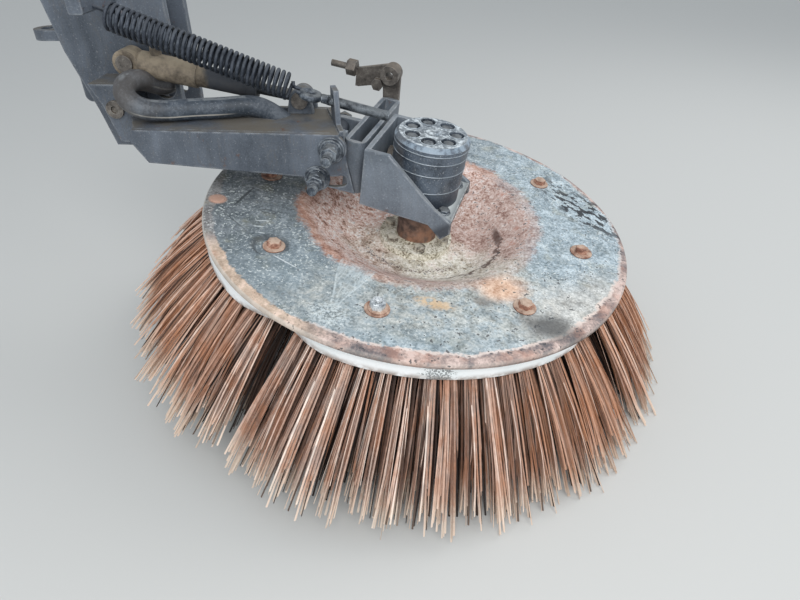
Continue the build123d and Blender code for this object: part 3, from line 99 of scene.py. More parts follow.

# %% [markdown]
# ## Hose
# A sleeve of black plastic holds the two motor hoses together. It comes up through the notch in the
# arm, lies along the arm's top, curls up round the pivot and goes through the post. It bends like one
# thick hose, so it is a smooth NURBS line through fourteen points with a round section. The tube is a
# mesh.

# %% Route of the hose
HOSE_WIDTH = 0.032
hose_route = [
    (0.088, -0.083, -0.074),
    (0.088, -0.115, -0.07),
    (0.082, -0.142, -0.056),
    (0.074, -0.168, -0.045),
    (0.067, -0.194, -0.046),
    (0.073, -0.215, -0.06),
    (0.097, -0.219, -0.076),
    (0.128, -0.206, -0.082),
    (0.168, -0.193, -0.0815),
    (0.214, -0.183, -0.082),
    (0.256, -0.171, -0.08),
    (0.282, -0.163, -0.094),
    (0.306, -0.155, -0.118),
    (0.340, -0.150, -0.14),
]


def drawn_line(name, points, width=0.0):
    # A mesh of the smooth line through the points: bare, or a tube where it has a width
    line = bpy.data.curves.new(name, "CURVE")
    line.dimensions = "3D"
    line.resolution_u = 8
    line.bevel_depth = width / 2
    line.bevel_resolution = 5
    line.use_fill_caps = True
    spline = line.splines.new("NURBS")
    spline.points.add(len(points) - 1)
    for point, place in zip(spline.points, points):
        point.co = (*place, 1)
    spline.order_u = 3
    spline.use_endpoint_u = True
    holder = bpy.data.objects.new(name, line)
    mesh = bpy.data.meshes.new_from_object(holder)
    bpy.data.objects.remove(holder)
    return mesh


hose_path = [vert.co.copy() for vert in drawn_line("hose_line", hose_route).vertices]

# %% [markdown]
# ## Light and floor
# The photograph has the flat light of a dull day. A pale world lights everything a little, one large
# lamp stands for the brighter part of the sky, and a weaker one opens the shadows on the other side.
# Small lamps would draw hard shadows between the wires, which the picture doesn't have.

# %% Light and floor
GROUND = -0.517


def lamp(name, place, aim, size, power):
    data = bpy.data.lights.new(name, "AREA")
    data.shape = "DISK"
    data.size = size
    data.energy = power
    made = bpy.data.objects.new(name, data)
    made.location = place
    made.rotation_euler = (Vector(aim) - Vector(place)).to_track_quat("-Z", "Y").to_euler()
    bpy.context.scene.collection.objects.link(made)


def as_mesh(bm, name):
    mesh = bpy.data.meshes.new(name)
    bm.to_mesh(mesh)
    bm.free()
    return mesh


lamp("bright_sky", (0.85, -2.2, 1.45), (0.5, -0.2, -0.3), 1.8, 42)
lamp("far_side", (2.2, 0.9, 1.6), (0.5, -0.2, -0.3), 1.6, 16)

world = bpy.data.worlds.new("dull_day")
world.use_nodes = True
bpy.context.scene.world = world
background = world.node_tree.nodes["Background"]
background.inputs["Color"].default_value = (0.88, 0.94, 1.0, 1)
background.inputs["Strength"].default_value = 0.66

bm = bmesh.new()
bmesh.ops.create_grid(bm, x_segments=1, y_segments=1, size=6)
bmesh.ops.translate(bm, vec=(0.5, 0.5, GROUND), verts=bm.verts)
floor_mesh = as_mesh(bm, "floor")
floor = bpy.data.objects.new("floor", floor_mesh)
bpy.context.scene.collection.objects.link(floor)

# %% [markdown]
# ## Writing materials as sums
# Worn paint is a stack of masks: here rust, there dust, and scratches across both. Drawn as a node
# graph that is a page of wires, and as Python calls it is hard to read. So one small class holds a
# socket and lets masks be added and multiplied like numbers, and a second one holds the node tree of a
# finish and knows the few nodes that wear needs.


# %% A mask that can be added and multiplied
class Mask:
    def __init__(self, finish, socket):
        self.finish = finish
        self.socket = socket

    def math(self, operation, first, second=0.0):
        return self.finish.node("Math", {"operation": operation}, {0: first, 1: second})

    def __add__(self, other):
        return self.math("ADD", self, other)

    def __sub__(self, other):
        return self.math("SUBTRACT", self, other)

    def __rsub__(self, other):
        return self.math("SUBTRACT", other, self)

    def __mul__(self, other):
        return self.math("MULTIPLY", self, other)

    def __abs__(self):
        return self.math("ABSOLUTE", self)

    __radd__ = __add__
    __rmul__ = __mul__

    def most(self, other):
        return self.math("MAXIMUM", self, other)


def rgb(red, green, blue):
    # A colour as screens count it, 0 to 255, turned into the linear values that shaders use
    linear = [((value / 255 + 0.055) / 1.055) ** 2.4 for value in (red, green, blue)]
    return (*linear, 1.0)


def tint(colour):
    return colour if isinstance(colour, Mask) else rgb(*colour)


# %% [markdown]
# ## The head's own directions
# The disc, the bristles and the motor lean 8 degrees sideways and 5 degrees forwards. Wear on them
# follows their own circles, so masks and new pieces need their frame: the disc's centre, with z along
# the motor's shaft. The same frame serves the meshes as a matrix and the materials as a Mapping node.

# %% Frame of the tilted head
HEAD_AT = Vector((0.52, -0.185, -0.25))
shaft = Vector((math.sin(math.radians(7.8)), -math.sin(math.radians(5)), 1)).normalized()
crosswise = shaft.cross(Vector((math.cos(math.radians(13)), -math.sin(math.radians(13)), 0))).normalized()
turned = Matrix((crosswise.cross(shaft), crosswise, shaft)).transposed()
HEAD = Matrix.Translation(HEAD_AT) @ turned.to_4x4()
print("shaft:", [round(v, 4) for v in shaft])


# %% The node tree of one finish
class Finish:
    def __init__(self, name):
        self.material = bpy.data.materials.new(name)
        self.material.use_nodes = True
        self.tree = self.material.node_tree
        self.tree.nodes.clear()
        self.colour = None
        self.place = self.node("TexCoord", {}, {}, "Object")
        self.facing = self.node("NewGeometry", {}, {}, "Normal")

    def node(self, kind, settings, inputs, output=0):
        made = self.tree.nodes.new(f"ShaderNode{kind}")
        for name, value in settings.items():
            if name == "stops":
                ramp = made.color_ramp
                while len(ramp.elements) < len(value):
                    ramp.elements.new(0.5)
                for element, (position, colour) in zip(ramp.elements, value):
                    element.position = position
                    element.color = colour
            else:
                setattr(made, name, value)
        for name, value in inputs.items():
            if isinstance(value, Mask):
                self.tree.links.new(value.socket, made.inputs[name])
            else:
                made.inputs[name].default_value = value
        return Mask(self, made.outputs[output]) if len(made.outputs) else None

    def stretched(self, scale):
        return self.node("Mapping", {}, {"Vector": self.place, "Scale": scale})

    def framed(self, vector, **frame):
        # The vector as a frame with this Location, Rotation and Scale sees it
        return self.node("Mapping", {"vector_type": "TEXTURE"}, {"Vector": vector, **frame})

    def on_head(self):
        return self.framed(self.place, Location=HEAD_AT, Rotation=turned.to_euler())

    def noise(self, scale, detail=4.0, place=None):
        inputs = {"Vector": place or self.place, "Scale": scale, "Detail": detail, "Roughness": 0.58}
        return self.node("TexNoise", {}, inputs)

    def step(self, value, low, high):
        # Smoothly from 0 at low to 1 at high, or from 1 to 0 where high is the smaller one
        inputs = {"Value": value, "From Min": low, "From Max": high}
        return self.node("MapRange", {"interpolation_type": "SMOOTHSTEP"}, inputs)

    def specks(self, scale, low, high, detail=2.0):
        return self.step(self.noise(scale, detail), low, high)

    def patches(self, scale, share, place=None, soft=0.06):
        # Ragged patches that cover about that share of the surface
        level = 0.5 + (0.5 - share) * 0.42
        return self.step(self.noise(scale, 5.0, place), level - soft, level + soft)

    def ramp(self, value, *stops):
        # Each stop is its position, then red, green and blue
        coloured = [(position, rgb(*colour)) for position, *colour in stops]
        return self.node("ValToRGB", {"stops": coloured}, {"Fac": value})

    def mix(self, factor, first, second):
        inputs = {0: factor, 6: tint(first), 7: tint(second)}
        return self.node("Mix", {"data_type": "RGBA"}, inputs, 2)

    def lay(self, share, over):
        # One more layer over the colours so far
        self.colour = self.mix(share, self.colour, over)

    def part_of(self, vector, letter):
        return self.node("SeparateXYZ", {}, {0: vector}, letter)

    def length(self, vector):
        return self.node("VectorMath", {"operation": "LENGTH"}, {0: vector}, "Value")

    def flat(self, vector):
        return self.node("VectorMath", {"operation": "MULTIPLY"}, {0: vector, 1: (1, 1, 0)})

    def blot(self, flat, centre, halves, angle, ragged, soft=0.25):
        # An oval mark across the head with a ragged rim, its place and half sizes in metres
        turn = (0, 0, math.radians(angle))
        inside = self.framed(flat, Location=(*centre, 0), Rotation=turn, Scale=(*halves, 1))
        return 1 - self.step(self.length(inside) + ragged, 1 - soft, 1 + soft)

    def upward(self):
        return self.part_of(self.facing, "Z")

    def soft_corners(self, radius):
        return self.node("Bevel", {"samples": 4}, {"Radius": radius})

    def edges(self, soft):
        # 0 on flat faces, up to 1 along the corners that the softened normals find
        inputs = {0: soft, 1: self.facing}
        same = self.node("VectorMath", {"operation": "DOT_PRODUCT"}, inputs, "Value")
        return self.step(1 - same, 0.01, 0.12)

    def bump(self, height, distance, under=None):
        inputs = {"Height": height, "Strength": 1.0, "Distance": distance}
        if under:
            inputs["Normal"] = under
        return self.node("Bump", {}, inputs)

    def surface(self, roughness, normal=None, metallic=0.0):
        inputs = {"Base Color": self.colour, "Roughness": roughness, "Metallic": metallic}
        if normal:
            inputs["Normal"] = normal
        shader = self.node("BsdfPrincipled", {}, inputs)
        self.node("OutputMaterial", {}, {"Surface": shader})
        print(self.material.name, "has", len(self.tree.nodes), "nodes")
        return self.material


ground = Finish("pale_ground")
ground.colour = rgb(205, 205, 202)
floor_mesh.materials.append(ground.surface(0.9))


# %% [markdown]
# ## Paint on the arm and the bracket
# Both were sprayed graphite grey. Corners lose their paint first, so they show bare pale metal. Faces
# that look up hold brown dust, and a fine grain of grit sits everywhere. Dust could be one more
# texture, but a mask of the upward part of the normal puts it where it really falls, on any shape.

# %% Painted steel
def painted(name, dark, light, worn, dust, dust_share, rust_share):
    finish = Finish(name)
    soft = finish.soft_corners(0.0022)
    wide = finish.soft_corners(0.005)
    grain = finish.noise(420, 3.0)
    cloud = finish.noise(9, 5.0)
    runs = finish.noise(30, 5.0, finish.stretched((1, 1, 0.16)))
    finish.colour = finish.ramp(cloud * 0.5 + grain * 0.2 + runs * 0.3, (0.36, *dark), (0.64, *light))
    grit = finish.specks(330, 0.63, 0.7)
    finish.lay(grit * 0.3, worn)
    lying = finish.step(finish.upward(), 0.25, 0.95)
    film = lying * finish.patches(16, dust_share, soft=0.16) * 0.85
    finish.lay(film, dust)
    smudge = finish.patches(13, 0.2, runs, soft=0.1) * 0.35
    finish.lay(smudge, dust)
    rust = finish.patches(38, rust_share) * finish.patches(120, 0.6)
    finish.lay(rust, (104, 70, 50))
    # Painted shade: the foot of the bracket cheek, where it stands on the base, is laid near-black
    across = finish.part_of(finish.on_head(), "X")
    height = finish.part_of(finish.on_head(), "Z")
    foot_shade = finish.step(across - height + grain * 0.004, 0.01, 0.03) * finish.step(height, -0.1, -0.05)
    finish.lay(foot_shade * 0.75, (44, 48, 56))
    bare = finish.edges(wide) * finish.specks(60, 0.36, 0.62, 5.0)
    finish.lay(bare * 0.8, worn)
    roughness = 0.42 + film * 0.4 + grain * 0.12 + rust * 0.3
    relief = grain * 0.3 + cloud + rust * 0.6 + film * 0.3
    return finish.surface(roughness, finish.bump(relief, 0.0006, soft), bare * 0.5)


# Their colours: dark, light, worn through, and the dust on them
arm_paint = painted(
    "slate_paint", (50, 57, 66), (110, 118, 129), (168, 172, 176), (104, 97, 85),
    dust_share=0.6, rust_share=0.06,
)
bracket_paint = painted(
    "graphite_paint", (72, 80, 89), (134, 143, 153), (196, 200, 204), (142, 144, 144),
    dust_share=0.5, rust_share=0.06,
)
base_paint = painted(
    "scuffed_paint", (110, 118, 124), (164, 172, 176), (232, 234, 232), (206, 211, 210),
    dust_share=0.85, rust_share=0.04,
)

# %% [markdown]
# ## The disc's face
# The disc tells the most in the photograph: slate paint on the left that is rubbed pale towards the
# right, a bowl that is rust all through with pale grit, a broad pinkish rim, sand in and round the
# bowl, black specks, a stain and a torn cobweb. Each is one mask in the head's own frame, laid over
# the last from the paint outwards. The grain is as coarse as it is in the picture, a few millimetres,
# because finer noise only averages out to a plain colour.

# %% Disc paint
disc = Finish("worn_disc")
spot = disc.on_head()
spot_flat = disc.flat(spot)
spot_x = disc.part_of(spot, "X")
spot_y = disc.part_of(spot, "Y")
radius = disc.length(spot_flat)
cloud = disc.noise(14, 6.0)
ragged = (cloud - 0.5) * 1.6
mottle = disc.noise(46, 6.0)
fine = disc.noise(150, 5.0)
grain = disc.noise(290, 2.0)
grit = mottle * 0.36 + fine * 0.34 + grain * 0.3


def mark(centre, halves, angle, rough=ragged, soft=0.5):
    # An oval mark on the disc's face
    return disc.blot(spot_flat, centre, halves, angle, rough, soft)


rubbed = disc.step(spot_x - spot_y * 0.25 + (cloud - 0.5) * 0.25, -0.27, 0.13)
old_paint = disc.ramp(grit, (0.4, 80, 88, 93), (0.5, 112, 119, 124), (0.6, 150, 156, 160))
pale_paint = disc.ramp(grit, (0.4, 110, 124, 131), (0.5, 162, 177, 185), (0.6, 208, 221, 227))
disc.colour = disc.mix(rubbed, old_paint, pale_paint)
disc.lay(disc.patches(30, 0.35, soft=0.12) * 0.3, (112, 120, 118))
disc.lay(disc.patches(36, 0.22, soft=0.1) * 0.28, (176, 170, 138))
dulled = mark((-0.045, -0.26), (0.17, 0.075), -8)
disc.lay(dulled * 0.42, (116, 130, 137))
crumbs = disc.specks(240, 0.575, 0.62, 3.0)
disc.lay(crumbs * disc.patches(24, 0.6, soft=0.14) * 0.75, (222, 228, 226))

# %% Sand and orange round the bowl
sand = mark((0.1, -0.2), (0.19, 0.08), 20)
sandy = disc.ramp(grit, (0.4, 126, 126, 120), (0.5, 178, 180, 174), (0.6, 216, 214, 206))
disc.lay(sand * (0.3 + disc.patches(70, 0.5) * 0.5), sandy)
warm = mark((0.28, -0.14), (0.05, 0.1), -28)
disc.lay(warm * 0.6, disc.ramp(grit, (0.4, 160, 154, 146), (0.6, 238, 232, 222)))
yellow = mark((0.083, -0.218), (0.024, 0.009), 5, ragged * 1.6, 0.6)
disc.lay(yellow * disc.patches(90, 0.6) * 0.7, (226, 190, 146))
orange = mark((0.163, -0.137), (0.036, 0.03), 20)
disc.lay(orange * 0.95, disc.ramp(grit, (0.4, 190, 142, 112), (0.6, 244, 208, 180)))
far_side = disc.step(spot_y + spot_x * 0.2, 0.04, 0.2)
reach = radius - far_side * 0.02 + (cloud - 0.5) * 0.05 + (fine - 0.5) * 0.03
halo = disc.step(reach, 0.21, 0.194)
halo_rust = disc.ramp(grit, (0.4, 148, 98, 78), (0.5, 198, 150, 128), (0.6, 232, 200, 184))
to_right = disc.step(spot_x - spot_y * 0.3 + (cloud - 0.5) * 0.2, -0.06, 0.1)
disc.lay(halo * (0.9 - to_right * 0.45), halo_rust)

# %% Rust and dirt in the bowl
bowl = disc.step(reach + (fine - 0.5) * 0.03, 0.19, 0.172)
left_rust = disc.ramp(
    grit, (0.4, 122, 88, 72), (0.46, 206, 164, 148), (0.52, 240, 216, 206), (0.58, 254, 250, 248)
)
right_rust = disc.ramp(
    grit, (0.4, 138, 106, 96), (0.5, 194, 168, 158), (0.56, 212, 194, 187), (0.62, 238, 230, 226)
)
disc.lay(bowl, disc.mix(to_right, left_rust, right_rust))
settled = mark((0.045, -0.06), (0.125, 0.07), -14)
soil = disc.ramp(
    grit, (0.39, 120, 108, 92), (0.45, 188, 182, 166), (0.52, 220, 216, 204), (0.6, 246, 244, 237)
)
disc.lay(settled * 0.92, soil)
red_spots = disc.patches(46, 0.2, soft=0.08) * bowl * (1 - settled * 0.6)
disc.lay(red_spots * 0.6, (168, 104, 80))

# %% Edge of the caked dirt
from_cake = disc.framed(spot_flat, Location=(0.045, -0.005, 0))
cake_r = disc.length(from_cake) + (disc.noise(60, 4.0) - 0.5) * 0.05
cake_edge = disc.step(cake_r, 0.0915, 0.0955) * disc.step(cake_r, 0.102, 0.099)
cake_side = disc.step(disc.part_of(from_cake, "X") - disc.part_of(from_cake, "Y") * 0.4, 0.05, 0.09)
hollow = mark((0.134, 0.042), (0.005, 0.022), 18, ragged * 1.4, 0.5)
CRUMB_R = 0.092
crumb_ring = disc.step(abs(radius + (fine - 0.5) * 0.03 - CRUMB_R), 0.008, 0.003)
dark_crumbs = crumb_ring * disc.step(spot_y, -0.03, -0.06) * disc.step(grain, 0.5, 0.56)
crust = (cake_edge * cake_side).most(hollow).most(dark_crumbs) * bowl
disc.lay(crust * 0.85, (82, 60, 54))

# %% Pinkish rim
narrow = disc.step(spot_y, -0.12, 0.1)
inset = radius - narrow * 0.011 + (cloud - 0.5) * 0.03 + (fine - 0.5) * 0.012
band = disc.step(inset, 0.33, 0.334)
front_share = disc.step(spot_x + (cloud - 0.5) * 0.2, -0.13, 0.02)
blend_noise = disc.noise(34, 4.0) * 0.74 + grain * 0.26
beige_rust = disc.ramp(blend_noise, (0.4, 168, 146, 128), (0.5, 200, 178, 158), (0.6, 232, 206, 188))
front_rust = disc.ramp(
    blend_noise, (0.4, 104, 99, 101), (0.48, 146, 132, 129), (0.54, 176, 155, 147), (0.62, 216, 194, 185)
)
rim_rust = disc.mix(front_share, beige_rust, front_rust)
rim_rust = disc.mix(disc.patches(26, 0.34, soft=0.1) * 0.35, rim_rust, (206, 148, 122))
far_left = disc.step(spot_x, -0.22, -0.27) * disc.step(spot_y, -0.25, -0.2)
disc.lay(band * (1 - far_left * 0.85), rim_rust)
crest = disc.step(inset, 0.326, 0.33) * disc.step(inset, 0.335, 0.331) * front_share * (1 - narrow * 0.6)
disc.lay(crest * disc.patches(60, 0.7) * 0.7, (238, 216, 204))
edge_line = disc.step(radius, 0.3465, 0.3485) * (1 - front_share * 0.7)
disc.lay(edge_line * 0.6, (206, 200, 190))

# %% Stains, specks, scratches and painted shade in a dimple
soft_stain = mark((0.241, -0.195), (0.034, 0.024), 20, ragged, 0.7)
disc.lay(soft_stain * 0.85, (72, 72, 72))
small_stain = mark((0.145, -0.185), (0.014, 0.01), 10, ragged, 0.6)
disc.lay(small_stain * 0.6, (110, 98, 88))
plug_rust = mark((-0.3055, -0.1222), (0.014, 0.014), 0, ragged * 0.4, 0.2)
disc.lay(plug_rust * 0.8, (208, 164, 142))
TAR_ANGLE = -42
along = disc.framed(spot_flat, Rotation=(0, 0, math.radians(TAR_ANGLE)), Scale=(2.2, 1, 1))
tar = mark((0.268, 0.158), (0.105, 0.046), TAR_ANGLE)
tar_specks = disc.step(disc.noise(95, 3.0, along), 0.515, 0.54)
disc.lay(tar * tar_specks * 0.95, (32, 35, 40))
black_specks = disc.specks(150, 0.645, 0.67) * rubbed
disc.lay(black_specks * 0.85, (66, 68, 70))
wobble = (fine - 0.5) * 0.8
twig = mark((-0.274, -0.093), (0.031, 0.0024), 88, wobble, 0.4)
groove = mark((-0.257, -0.1625), (0.038, 0.0012), -28, wobble, 0.3)
oval_print = mark((-0.2195, -0.1176), (0.0135, 0.0055), 8, wobble, 0.3)
oval_inside = mark((-0.2195, -0.1176), (0.011, 0.0032), 8, wobble, 0.3)
# Painted shade: the ring between these two ovals is a dark crescent inside the dip round the dipped bolt
dimple = mark((-0.178, -0.196), (0.029, 0.026), 10, wobble * 0.2, 0.14)
dimple_inside = mark((-0.176, -0.198), (0.0225, 0.0205), 10, wobble * 0.2, 0.14)
dark_marks_and_dimple_shade = (twig + groove * 0.7 + (oval_print - oval_inside) + (dimple - dimple_inside) * 0.8) * 0.8
disc.lay(dark_marks_and_dimple_shade, (56, 60, 64))
for place, halves, angle in (
    ((-0.2157, -0.1442), (0.0105, 0.0013), 25), ((-0.214, -0.1606), (0.0085, 0.0013), 19),
    ((-0.2035, -0.1745), (0.006, 0.0011), 10), ((-0.142, -0.223), (0.026, 0.001), -16),
):
    scratch = mark(place, halves, angle, wobble, 0.3)
    disc.lay(scratch * 0.85, (216, 222, 224))

# %% Torn cobweb, and painted shade where the disc faces down
web_up = disc.step(spot_y, -0.29, -0.18)
web_width = abs(spot_x + 0.042) - web_up * 0.022 - 0.005
web_from = disc.step(spot_y, -0.3, -0.27) * disc.step(spot_y + (cloud - 0.5) * 0.03, -0.172, -0.182)
drawn_out = disc.node("Mapping", {}, {"Vector": spot, "Scale": (1, 0.16, 1)})
threads = disc.noise(420, 3.0, drawn_out)
veil = disc.step(web_width, 0.002, -0.002) * (0.1 + disc.step(threads, 0.42, 0.6) * 0.3)
strand = disc.step(abs(web_width), 0.0022, 0.0006) * disc.patches(120, 0.75) * 0.5
fluff = mark((-0.04, -0.3), (0.022, 0.02), 0, soft=0.7) * disc.step(grain, 0.44, 0.56) * 0.6
disc.lay((veil.most(strand) * web_from).most(fluff), (214, 224, 226))
# Painted shade: faces of the disc that turn downwards are laid dark brown
below = disc.step(disc.upward(), 0.1, -0.3)
disc.lay(below * 0.8, (72, 60, 52))

lumps = fine * (0.35 + bowl * 1.3) + grain * 0.4 + bowl * 0.4 + mottle * 0.6
disc_paint = disc.surface(0.62 + bowl * 0.25 + grain * 0.12, disc.bump(lumps, 0.0011))


# %% [markdown]
# ## Rust, zinc, cast iron and rubber
# These small finishes share one pattern: two or three colours over a noise, a fine bump, and dust on
# what faces up. One function with the colours as arguments keeps them alike, as they are on the real
# unit, where everything wears the same grit.

# %% Small finishes
def weathered(
    name, stops, roughness, metallic, dust=None, scale=90.0, depth=0.0005, edge=None, beyond=None,
):
    finish = Finish(name)
    broad = finish.noise(scale, 6.0)
    fine = finish.noise(scale * 6, 3.0)
    finish.colour = finish.ramp(broad * 0.65 + fine * 0.35, *stops)
    if beyond:
        # Between two places along x the finish turns into another colour
        start, end, other = beyond
        far_part = finish.step(finish.part_of(finish.place, "X") + (broad - 0.5) * 0.03, start, end)
        finish.lay(far_part * 0.9, other)
        dust = finish.mix(far_part, dust, other)
    soft = finish.soft_corners(0.0012)
    bare = metallic
    if edge:
        rubbed = finish.edges(soft) * finish.step(broad, 0.35, 0.55)
        finish.lay(rubbed * 0.85, edge)
        bare = metallic + rubbed * 0.4
    gloss = roughness + fine * 0.2
    if dust:
        film = finish.step(finish.upward(), 0.1, 0.9) * finish.patches(scale * 0.5, 0.6, soft=0.15)
        finish.lay(film * 0.75, dust)
        gloss = gloss + film * 0.3
    return finish.surface(gloss, finish.bump(broad * 0.6 + fine * 0.4, depth, soft), bare)


rust = weathered(
    "deep_rust", [(0.38, 104, 70, 58), (0.5, 164, 118, 98), (0.62, 214, 172, 150)],
    0.75, 0.0, (196, 178, 160), depth=0.0012,
)
zinc = weathered(
    "dull_zinc", [(0.36, 92, 100, 110), (0.52, 128, 138, 150), (0.66, 172, 182, 194)],
    0.32, 0.75, (130, 122, 112), edge=(206, 212, 220),
)
oily_zinc = weathered(
    "oily_zinc", [(0.4, 50, 56, 64), (0.5, 82, 89, 98), (0.6, 132, 140, 148)],
    0.34, 0.4, (122, 124, 124), edge=(206, 212, 216),
)
dull_steel = weathered(
    "pin_steel", [(0.36, 82, 78, 74), (0.52, 118, 112, 106), (0.66, 150, 144, 136)],
    0.45, 0.55, (128, 116, 102), edge=(180, 178, 174),
)
dusty_bolt = weathered(
    "dusty_bolt", [(0.4, 84, 76, 68), (0.5, 150, 142, 128), (0.6, 206, 200, 184)],
    0.7, 0.0, (214, 208, 192), edge=(232, 230, 222),
)
rod_chrome = weathered(
    "rod_chrome", [(0.3, 84, 86, 88), (0.7, 136, 138, 138)], 0.3, 0.6, (104, 98, 90), depth=0.0001,
)
# A zinc nut laid near-white with whiter corners: its own bright zinc plus painted glare
zinc_nut_and_glare = weathered(
    "zinc_nut_and_glare", [(0.4, 120, 126, 134), (0.5, 196, 202, 206), (0.6, 240, 243, 244)],
    0.3, 0.35, edge=(248, 250, 250),
)
beige_dust = weathered(
    "dusty_cylinder", [(0.36, 86, 78, 68), (0.5, 132, 120, 104), (0.66, 168, 154, 134)],
    0.6, 0.0, (172, 158, 136), scale=30.0, edge=(150, 146, 140), beyond=(0.168, 0.18, (66, 71, 79)),
)

# %% Hose finish
rubber = Finish("hose_sleeve")
broad = rubber.noise(22, 5.0)
fine = rubber.noise(240, 3.0)
rubber.colour = rubber.ramp(
    broad * 0.6 + fine * 0.4, (0.4, 50, 58, 67), (0.5, 68, 76, 86), (0.6, 96, 103, 111)
)
scuffs = rubber.specks(300, 0.62, 0.68)
rubber.lay(scuffs * 0.3, (150, 154, 158))
near_post = rubber.step(rubber.part_of(rubber.place, "X") + (broad - 0.5) * 0.1, 0.14, 0.08)
rubber.lay(near_post * 0.55, (92, 84, 76))
# A pale band along the lower side of the sleeve, before the notch and away from the post
pale_lower_band = rubber.step(rubber.upward(), -0.5, -0.44) * rubber.step(rubber.upward(), -0.3, -0.36)
before_notch = rubber.step(rubber.part_of(rubber.place, "X"), 0.24, 0.2)
rubber.lay(pale_lower_band * (1 - near_post) * before_notch * 0.85, (200, 195, 184))
top_line = rubber.step(rubber.upward(), 0.86, 0.93) * rubber.patches(40, 0.5)
rubber.lay(top_line * 0.5, (142, 146, 148))
hose_rubber = rubber.surface(0.45 + fine * 0.2, rubber.bump(broad + fine * 0.3, 0.0006))

# %% Hub finish
hub_iron = Finish("hub_iron")
across = hub_iron.part_of(hub_iron.on_head(), "X")
height = hub_iron.part_of(hub_iron.on_head(), "Z")
broad = hub_iron.noise(60, 5.0)
grain = hub_iron.noise(290, 2.0)
hub_iron.colour = hub_iron.ramp(broad, (0.4, 78, 66, 62), (0.6, 134, 110, 98))
lower_right = hub_iron.step(across - height * 1.4 + (broad - 0.5) * 0.06, 0.0, 0.05)
hub_iron.lay(lower_right * hub_iron.patches(80, 0.6, soft=0.16) * 0.6, (182, 132, 102))
sunk = hub_iron.step(height + (broad - 0.5) * 0.006, -0.039, -0.0415)
sand_colour = hub_iron.ramp(
    grain * 0.6 + broad * 0.4, (0.39, 120, 108, 92), (0.46, 196, 190, 170), (0.6, 242, 238, 226)
)
hub_iron.lay(sunk, sand_colour)
hub_finish = hub_iron.surface(0.8, hub_iron.bump(grain + broad, 0.0012))

# %% [markdown]
# ## Motor
# The motor is a stack of ground rings that bolts clamp together. It is nearly black, with bright lines
# where the rings meet and a bright chamfer round the cap, whose top is grey with dust. The chamfer's
# bluish sheen is a painted highlight. The lines are real steps of the casting, so the housing is turned
# on a lathe, as the real one was, with a narrow bead at each joint.

# %% Motor finish
motor = Finish("black_iron")
soft = motor.soft_corners(0.0012)
corner = motor.edges(soft)
broad = motor.noise(26, 5.0)
fine = motor.noise(480, 3.0)
motor.colour = motor.ramp(broad * 0.6 + fine * 0.4, (0.4, 50, 58, 68), (0.6, 96, 106, 118))
motor.lay(motor.specks(420, 0.64, 0.7) * 0.8, (176, 182, 186))
smear = motor.patches(20, 0.25, motor.stretched((1, 1, 0.3)), soft=0.12)
motor.lay(smear * 0.35, (118, 108, 96))
film = motor.step(motor.upward(), 0.7, 0.97) * (0.15 + motor.patches(60, 0.6, soft=0.12) * 0.75)
# Painted highlight: a bluish sheen laid on the slanted chamfer round the cap
chamfer_sheen = motor.step(motor.upward(), 0.3, 0.5) * motor.step(motor.upward(), 0.93, 0.85)
motor.lay(chamfer_sheen * (0.1 + motor.patches(50, 0.5) * 0.6), (158, 174, 188))
dusting = motor.ramp(motor.noise(150, 4.0), (0.42, 122, 129, 133), (0.58, 218, 226, 230))
motor.lay(film, dusting)
shaded = motor.step(motor.part_of(motor.on_head(), "Z"), 0.074, 0.05)
motor.lay(shaded * 0.7, (36, 42, 52))
motor.lay(corner * motor.step(broad, 0.3, 0.5) * 0.85, (186, 194, 200))
relief = motor.bump(broad + fine * 0.4, 0.0005, soft)
motor_iron = motor.surface(0.36 + film * 0.4 + fine * 0.15, relief, corner * 0.6)

# %% [markdown]
# ## Plastic blocks and spring wire
# The bristles are cast into rings of white plastic, stained brown below and smeared grey. The spring
# is black, with a painted highlight a little lighter where its turns stand out.

# %% Block and spring finishes
block = Finish("white_plastic")
spot = block.on_head()
low = block.step(block.part_of(spot, "Z"), -0.026, -0.038)
broad = block.noise(18, 5.0)
block.colour = block.ramp(broad, (0.36, 244, 250, 250), (0.56, 253, 255, 255))
block.lay(block.patches(60, 0.25, soft=0.1) * 0.16, (180, 184, 182))
block.lay(low * block.patches(44, 0.6, soft=0.14) * 0.8, (126, 96, 74))
unruly = (block.noise(160, 4.0) - 0.5) * 3.0
tangle = block.blot(block.flat(spot), (0.119, -0.319), (0.018, 0.018), 0, unruly, 0.3)
block.lay(tangle * block.specks(420, 0.42, 0.56) * 0.8, (104, 108, 110))
block_plastic = block.surface(0.5 + broad * 0.2, block.bump(block.noise(120, 4.0), 0.0005))

# Painted highlight: the lighter edge colour stands for light on the turns that stand out
spring_wire = weathered(
    "black_spring", [(0.38, 30, 36, 45), (0.5, 52, 58, 68), (0.64, 82, 88, 98)],
    0.38, 0.35, (92, 96, 102), scale=60.0, edge=(130, 136, 144),
)

# %% [markdown]
# ## Bristle wire
# The wires are flat steel, rusted brown. No two have the same tone, and all are paler at the tips,
# where the road scours them. A number stored on each wire's vertices, its tone, does the first, and
# the height in the head's frame does the second. The same number is low on the inner rows, so they
# stand as painted shade between the tufts, and low-toned wires near the roots get a painted shadow.

